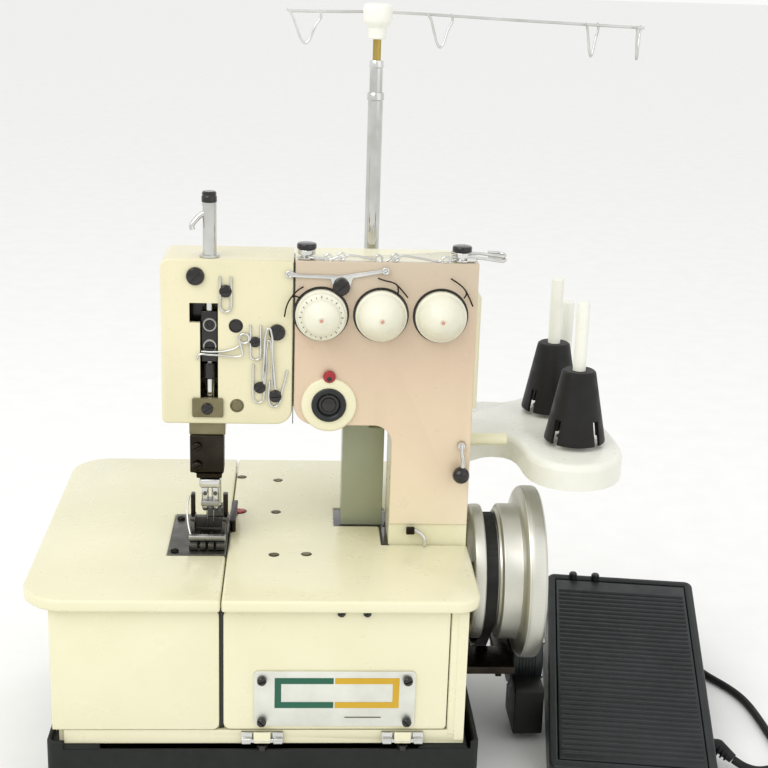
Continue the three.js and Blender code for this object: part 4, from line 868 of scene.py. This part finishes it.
def make_needle_group():
    turned("needle_rod", "z", NEEDLE_BAR, [(0.1, 44), (3.5, 44), (3.5, 236.4), (2.9, 237), (0.1, 237)],
        "chrome", "needle_drive", ["needle_bar"], segments=48)
    block("driver_block", (-40.5, 107.6, 140), (-28.5, 118.5, 178), "gloss_black", "needle_drive", bevel=0.8)
    for number, x in enumerate((-38.3, -30.7)):
        turned(f"needle_holder_{number}", "z", (x, 112.5), [(0.1, 22.6), (1.5, 22.6), (2.3, 24), (2.6, 27),
            (2.6, 47), (2.2, 48), (0.1, 48)], "chrome", "needle_drive", segments=40)
    for number, x in enumerate((-36.9, -32.1)):
        turned(f"needle_{number}", "z", (x, 112.5), [(0.05, 7), (0.35, 9), (0.6, 11.5), (0.6, 24),
            (0.05, 24)], "steel", "needle_drive", segments=20)
    block("needle_clamp_low", (-41.2, 107.2, 27.4), (-27.8, 117.6, 31.6), "steel", "needle_drive", bevel=0.7)
    refined("needle_guide_block", "burnished", 1.2)
    refined("take_up_arm", "chrome")
    refined("presser_bar", "chrome")
    refined("presser_foot", "dark_steel", 0.35)
    block("foot_bar", (-49.6, 92.6, 5.3), (-22.2, 97.6, 9.4), "steel", "presser", bevel=0.9)
    for number, x in enumerate((-49.2, -24.7)):
        block(f"foot_horn_{number}", (x, 112.6, 15), (x + 3.2, 119.4, 34.6), "burnished", "presser",
            bevel=1.1)
        block(f"foot_shoulder_{number}", (x - 0.6, 108, 12.8), (x + 3.8, 120, 18.2), "dark_steel",
            "presser", bevel=0.9)
    block("bushing_plate", (-49.4, 106.2, 84.6), (-22.9, 107.8, 93.6), "bracket", bevel=0.4)
    refined("presser_lifter", "chrome", 0.8)
    for number, (x, z) in enumerate(((-34.2, 168), (-34.2, 152))):
        turned(f"driver_ring_{number}", "y", (x, z), [(3.6, 108), (5.2, 108), (5.3, 107), (4.8, 106.4),
            (3.9, 106.4), (3.6, 107)], "steel", "needle_drive", closed=True, segments=48)
        turned(f"driver_core_{number}", "y", (x, z), [(0.1, 108), (3.5, 108), (3.4, 106.9), (2.0, 106.6),
            (1.6, 107.4), (0.1, 107.4)], "gloss_black", "needle_drive", segments=32)
    turned("needle_sleeve", "z", NEEDLE_BAR, [(4.0, 127), (5.6, 127), (6.2, 127.8), (6.2, 138),
        (5.6, 138.8), (4.0, 138.8)], "gloss_black", "needle_drive", closed=True, segments=48)
    # painted shade: a black sheet behind the face cover's slot, for the shaded inside of the head
    block("slot_shade_sheet", (-62, 121, 106), (-23, 122.6, 190), "gloss_black", bevel=0.3)
    prism("face_bracket", rounded(-46.8, -24.2, 99.6, 114, 1.2, 4), "y", FACE - 2.1, FACE - 0.4, "bracket")
    screw("face_bracket_screw", (-35.8, FACE - 2.1, 106.3), FRONT, 4.3, "gloss_black", "machine", 0.9, 0.6)
    for number, (z, low) in enumerate(((76, 3.4), (61, 3.6))):
        screw(f"guide_block_screw_{number}", (-43.6, 104.4, z), FRONT, low, "burnished", "needle_drive",
            1.5, 0.5)
    block("clamp_collar", (-42.6, 105.4, 42.6), (-26.4, 118.2, 49.6), "chrome", "needle_drive", bevel=1.4,
        corner=3)
    for number, x in enumerate((-38.3, -30.7)):
        turned(f"clamp_screw_{number}", "y", (x, 37), [(0.1, 110.4), (1.5, 110.4), (1.6, 109.2),
            (1.4, 108.6), (0.9, 108.4), (0.1, 108.4)], "dark_steel", "needle_drive", segments=32)
    wire("foot_wire", [(-50.2, 114, 34), (-51.6, 111, 27), (-51.2, 106, 18), (-49.4, 101, 10),
        (-47.6, 98, 5.6)], 0.7, "chrome", "presser")
    block("thread_lever", (-20.6, 120, 8.2), (-15.8, 164, 10.8), "burnished", bevel=0.7)
    for number, y in enumerate((126, 158)):
        turned(f"thread_lever_post_{number}", "z", (-18.2, y), [(0.1, 0), (2.2, 0), (2.2, 8.4), (0.1, 8.4)],
            "burnished", segments=24)


def make_guard():
    refined("needle_bar_guard", "chrome")
    turned("guard_cap", "z", NEEDLE_BAR, [(0.1, 256.2), (5.0, 256.2), (5.5, 256.8), (5.5, 260.4),
        (5.0, 261.2), (5.2, 262), (5.1, 263.4), (4.2, 264.2), (0.1, 264.3)], "gloss_black", segments=48)
    wire("take_up_lever", [(-34.5, 111, 249.6), (-39.4, 110, 248), (-44, 109.2, 243.8),
        (-46.6, 108.6, 239.6), (-46.2, 108.2, 237)], 1.9, "chrome", "needle_drive")


make_face_details()
make_take_up_wire()
make_needle_group()
make_guard()


# ---------------------------------------------------------------- spool stand, cones and pins
PIN_PLACES = {"front": (245, 145, 181), "rear": (239, 226, 181), "spare": (257, 268, 152)}


def make_stand():
    refined("spool_stand", "white", 5.0, lambda p: p.z > 66 and p.x > 160)
    turned("side_stay_rod", "x", (145, 70.5), [(0.1, 159.3), (4.2, 159.3), (4.7, 160), (4.7, 191.4),
        (4.2, 192), (0.1, 192)], "cream", "machine", ["side_stay"], segments=48)
    for name, (x, y, top) in PIN_PLACES.items():
        turned(f"spool_rod_{name}", "z", (x, y), [(0.1, 58.5), (5, 58.5), (5, top - 1.6), (4.6, top - 0.6),
            (3.8, top), (0.1, top)], "white", "machine", [f"spool_pin_{name}"], segments=48)
        turned(f"spool_seat_{name}", "z", (x, y), [(5.0, 67), (9.6, 67), (9.8, 68.6), (9.2, 70.4),
            (8.4, 71), (5.0, 71)], "white", closed=True, segments=64)
    for name in ("front", "rear"):
        make_cone(name, *PIN_PLACES[name][:2])
    for number, x in enumerate((112, 146)):
        screw(f"stand_screw_{number}", (x, 170, 68), UP, 4.2, "steel", "machine", 0.7, number)


def make_cone(name, x, y):
    """A hollow spool cone whose skirt is slit into four springy legs."""
    low, high = 71.3, 127.3
    shell = [(21.1, low), (22.9, low), (23.5, low + 0.6), (23.4, low + 2.2), (13.4, high - 2.6),
        (12.9, high - 1), (11.6, high), (5.5, high), (5.3, high - 0.4), (5.3, high - 4.8), (10.6, high - 5),
        (21.1, low + 2)]
    cone = turned(f"cone_{name}_shell", "z", (x, y), shell, "black", f"cone_{name}", [f"spool_cone_{name}"],
        True, 96)
    for number in range(2):
        cutter = bmesh.new()
        outline = rounded(-26, 26, -2.8, 2.8, 0.4, 2)
        loft(cutter, [spaced(outline, "z", low - 3), spaced(outline, "z", low + 19)])
        bmesh.ops.rotate(cutter, matrix=Matrix.Rotation(math.radians(38 + 90 * number), 3, "Z"),
            verts=cutter.verts)
        bmesh.ops.translate(cutter, vec=(x, y, 0), verts=cutter.verts)
        to_row(cutter)
        cone.data = finished(cut(cone, cutter), cone.name)


# ---------------------------------------------------------------- pole and thread guides
POLE = (84, 165)


def make_pole():
    turned("pole_tube_lower", "z", POLE, [(4.85, 107), (5.5, 107), (5.5, 324), (5.5, 325), (6.2, 325.6),
        (6.2, 329.8), (5.7, 330.8), (4.85, 331)], "chrome", "machine", ["pole_lower"], True, 64)
    turned("pole_tube_middle", "z", POLE, [(3.25, 181), (4.75, 181), (4.75, 348.4), (5.3, 349),
        (5.3, 352.8), (4.8, 353.9), (3.25, 354)], "chrome", "pole_stage_2", ["pole_middle"], True, 64)
    turned("pole_tube_upper", "z", POLE, [(0.1, 219), (3, 219), (3, 381), (0.1, 381)], "brass",
        "pole_stage_3", ["pole_upper"], segments=48)


GUIDE_Z = 388
RAIL_LEFT, RAIL_RIGHT = 20, 279
DROP = 21
TRIANGLES = [(POLE[0] - 52, 11, 0), (POLE[0] + 46, 10, 29), (241, 9, 52), (275, 8, 69)]  # x, half width, turn


def rail_height(x):
    return GUIDE_Z - 1 if x < POLE[0] - 30 else GUIDE_Z - 6 * max(0, x - POLE[0]) / (RAIL_RIGHT - POLE[0])


def make_guide_bar():
    x, y = POLE
    turned("guide_cap", "z", POLE, [(3.25, 369.2), (5.9, 369), (6.5, 369.8), (6.8, 376.6), (8.2, 378.6),
        (10, 380.8), (10.7, 382.6), (10.8, 390.2), (10.2, 392.4), (8.6, 393.7), (6, 394), (0.1, 394),
        (0.1, 381.4), (3.25, 381.4)], "white", "guide_head", ["thread_guide_bar"], True, 72)
    wire("guide_rail", [(RAIL_LEFT, y, GUIDE_Z - 1), ((RAIL_LEFT + x) / 2, y, GUIDE_Z - 0.6),
        (x, y, GUIDE_Z), ((x + RAIL_RIGHT) / 2, y, GUIDE_Z - 3), (RAIL_RIGHT, y, GUIDE_Z - 6)], 1.1,
        "chrome", "guide_head")
    for number, (place, half, turn) in enumerate(TRIANGLES):
        angle = math.radians(turn)
        top = rail_height(place) - 0.4
        dx, dy = half * math.cos(angle), half * math.sin(angle)
        corner = 0.16
        points = [(place - dx * 1.25, y - dy * 1.25, top + 1.6), (place - dx, y - dy, top - 0.6),
            (place - dx * 0.6, y - dy * 0.6, top - DROP * 0.5), (place - dx * corner, y - dy * corner,
            top - DROP), (place, y, top - DROP - 1.0), (place + dx * corner, y + dy * corner, top - DROP),
            (place + dx * 0.6, y + dy * 0.6, top - DROP * 0.5), (place + dx, y + dy, top - 0.6),
            (place + dx * 0.8, y + dy * 0.8, top + 1.3)]
        wire(f"guide_hook_{number}", points, 0.95, "chrome", "guide_head")


def make_top_rail():
    y = FACE + 9
    posts = {"left": 35, "right": 147}
    for side, x in posts.items():
        turned(f"rail_post_{side}", "z", (x, y), [(0.1, 217.3), (6.6, 217.3), (6.8, 217.8), (6.6, 218.6),
            (4.2, 218.9), (4.2, 220.2), (6.3, 220.5), (6.5, 221.2), (6.5, 223.6), (6.1, 224.2),
            (0.1, 224.3)], "chrome", "machine", ["top_guide_rail"] if side == "left" else [], segments=56)
        turned(f"rail_nut_{side}", "z", (x, y), [(0.1, 224.2), (6.6, 224.2), (7.1, 224.9), (7.1, 227.4),
            (6.6, 228.3), (5.2, 228.7), (0.1, 228.8)], "gloss_black", segments=48)
    low = y - 7
    wire("rail_wire_left", [(32, y, 219.6), (38, low, 219.2), (46, low, 218.6), (50, low, 218.8),
        *ring(50.7, low, 219.2, 2.6), (56, low - 0.6, 219.6), *ring(60, low, 220.6, 2.6), (66, low, 221.4),
        (76, low, 220.2), (83, low, 218.9), *ring(86.4, low, 219.4, 2.5)], 0.8, "chrome")
    wire("rail_wire_right", [(92, low, 217.6), (95, low, 219.6), *ring(98.5, low, 220.4, 2.6),
        (104, low, 221.8), (112, low, 220.8), (122, low, 219.2), (130, low, 218.2),
        *ring(135, low, 218.6, 3.0), (141, low + 2, 219.0), (147, y, 219.5)], 0.8, "chrome")
    bar_y = y - 3
    for number, (dy, z) in enumerate(((0, 220.2), (2.8, 223.0))):
        wire(f"rail_bar_{number}", [(139, bar_y + dy, z + 0.6), (150, bar_y + dy, z + 0.3),
            (160, bar_y + dy, z), (170, bar_y + dy, z - 1.2), (177, bar_y + dy, z - 1.8),
            (178.4, bar_y + dy + 2, z - 1.2), (177, bar_y + dy + 4, z - 0.6),
            (166, bar_y + dy + 4, z + 0.4)], 1.15, "chrome")
    block("rail_clip", (150, y - 6, 217.6), (157, y + 2, 222.8), "chrome", bevel=0.8)


def ring(x, y, z, radius):
    """The points of one full turn of wire round a small eye."""
    return [(x + radius * math.cos(a), y - 0.4,
        z + radius * math.sin(a)) for a in (math.pi + 2 * math.pi * i / 8 for i in range(9))]


def make_guide_plate():
    outline = [(22.6, 205.8), (25, 205.4), (52.2, 204.6), (53.4, 201), (54.6, 196.6), (57, 194),
        (60.2, 193), (63.4, 194), (65.8, 196.6), (67, 201), (68.4, 205.4), (88, 209.2), (92, 209.6),
        (93.6, 211), (93, 213), (91, 213.4), (87, 211.6), (66, 208.4), (60, 207.2), (30, 207.6),
        (25, 209.4), (22, 209.2), (21, 207.4)]
    prism("guide_sheet", outline, "y", 101.2, 102.6, "chrome", "machine", ["guide_plate"], bevel=0.35)
    screw("guide_sheet_screw", (60.1, 101.2, 199), FRONT, 6.3, "gloss_black", "machine", 0.85, 0.7)
    for number, (x, z) in enumerate(((22.8, 207.6), (91.6, 211.2))):
        wire(f"guide_sheet_eye_{number}", [(x + 2.1 * math.cos(a), 100.6,
            z + 2.1 * math.sin(a)) for a in (2 * math.pi * i / 8 for i in range(8))], 0.75, "chrome",
            cyclic=True)
    springs = {"middle": [(86.3, 101, 205.8), (91, 99.4, 204.6), (96, 98.6, 203.6), (99.5, 98.6, 201.8),
        (100.9, 99.6, 198), (100.7, 101, 194.6)], "middle_tail": [(99, 98.8, 202.4), (103, 98.2, 198.4),
        (107.9, 98.4, 192.6)], "left": [(33, 101.4, 198.6), (28.6, 99.4, 196), (24.6, 98.4, 191.6),
        (21.6, 98.6, 186), (19.6, 100, 176.6)], "left_tail": [(24.6, 98.4, 191.6), (27, 98.8, 192.2),
        (30.4, 101, 190.6)], "right": [(138.6, 101.4, 206.4), (143.6, 99.4, 203.6), (148.5, 98.6, 199.4),
        (152, 98.8, 193.4), (155.2, 100.2, 186.6)], "right_tail": [(148.5, 98.6, 199.4), (150, 98.8, 196.4),
        (148.6, 100.4, 192.4)],}
    for name, points in springs.items():
        wire(f"spring_{name}", points, 0.55, "burnished")


make_stand()
make_pole()
make_guide_bar()
make_top_rail()
make_guide_plate()


# ---------------------------------------------------------------- pedal
PEDAL_WIDTH, PEDAL_LENGTH = 130, 235
PEDAL_FRONT, PEDAL_REAR = 22, 80
RIB_PITCH = 5.45


def pedal_point(px, py, pz):
    """From the pedal's own frame (middle of its front edge, on the table) to the machine's."""
    turn = math.radians(-8)
    x = px - PEDAL_WIDTH / 2
    y = py - PEDAL_LENGTH
    return (389 + x * math.cos(turn) - y * math.sin(turn), 280 + x * math.sin(turn) + y * math.cos(turn),
        pz + TABLE)


def pedal_top(py):
    return PEDAL_FRONT + (PEDAL_REAR - PEDAL_FRONT) * py / PEDAL_LENGTH


def make_pedal():
    refined("pedal_base", "charcoal", 1.6, lambda p: p.z > TABLE + 1.5)
    refined("pedal_treadle", "charcoal", 0.8)
    refined("cord_strain_relief", "rubber", 0)
    half = PEDAL_WIDTH / 2 - 10
    bm = bmesh.new()
    count = int((PEDAL_LENGTH - 30) / RIB_PITCH)
    for number in range(count):
        py = 14 + number * RIB_PITCH
        rings = []
        for px in (-half, half):
            section = [(py, -0.6), (py + 0.3, 0.7), (py + 0.9, 1.1), (py + 2.1, 1.1), (py + 2.7, 0.7),
                (py + 3.0, -0.6)]
            rings.append([pedal_point(px, q, pedal_top(q) + h) for q, h in section])
        loft(bm, rings)
    to_row(bm)
    solid("treadle_ribs", bm, "charcoal", "treadle", sharp=50)
    for number, px in enumerate((-42, -22)):
        x, y, z = pedal_point(px, PEDAL_LENGTH - 3.4, PEDAL_REAR - 3.5)
        turned(f"pedal_stud_{number}", "z", (x, y), [(0.1, z), (3.6, z), (3.6, z + 5.6), (2.8, z + 6.8),
            (0.1, z + 7)], "charcoal", segments=32)
    for number in range(4):
        share = 0.12 + 0.2 * number
        a, b = Vector((366, 101.6, 18.5)), Vector((380.5, 93.5, 10.8))
        place = a.lerp(b, share)
        collar_ring(f"relief_ring_{number}", place, (b - a).normalized(), 5.4 - 0.9 * share)


def collar_ring(name, place, along, radius):
    """A bellows ring round the strain relief."""
    bm = bmesh.new()
    section = [(radius - 1.2, -0.9), (radius + 0.2, -0.7), (radius + 0.5, 0), (radius + 0.2, 0.7),
        (radius - 1.2, 0.9)]
    loft(bm, revolve(section, "z", (0, 0), 40), closed=True)
    bmesh.ops.transform(bm, matrix=along.to_track_quat("Z", "Y").to_matrix().to_4x4(), verts=bm.verts)
    bmesh.ops.translate(bm, vec=place + Vector((0, 0, TABLE)), verts=bm.verts)
    to_row(bm)
    solid(name, bm, "rubber")


make_pedal()


# ---------------------------------------------------------------- light and floor
def make_stage():
    size = 40
    bm = bmesh.new()
    bmesh.ops.create_grid(bm, x_segments=1, y_segments=1, size=size / 2)
    mesh = bpy.data.meshes.new("floor")
    bm.to_mesh(mesh)
    bm.free()
    mesh.materials.append(plastic("floor_paper", "f4f4f2", "f1f1ef", 0.8, 600))
    floor = bpy.data.objects.new("floor", mesh)
    floor.location = at(0, 0, TABLE)
    bpy.context.collection.objects.link(floor)

    world = bpy.data.worlds.new("studio")
    bpy.context.scene.world = world
    world.use_nodes = True
    world.node_tree.nodes["Background"].inputs["Color"].default_value = (1, 1, 1, 1)
    world.node_tree.nodes["Background"].inputs["Strength"].default_value = 0.97

    for name, place, size, power in (("key", (-900, -900, 1500), 1.6, 17),
            ("fill", (1300, -1100, 900), 1.8, 4)):
        light = bpy.data.lights.new(name, "AREA")
        light.size = size
        light.energy = power
        lamp = bpy.data.objects.new(name, light)
        aim = (at(60, 100, 60) - at(*place)).to_track_quat("-Z", "Y").to_matrix().to_4x4()
        lamp.matrix_world = Matrix.Translation(at(*place)) @ aim
        bpy.context.collection.objects.link(lamp)
    bpy.context.scene.view_settings.view_transform = "Standard"


make_stage()
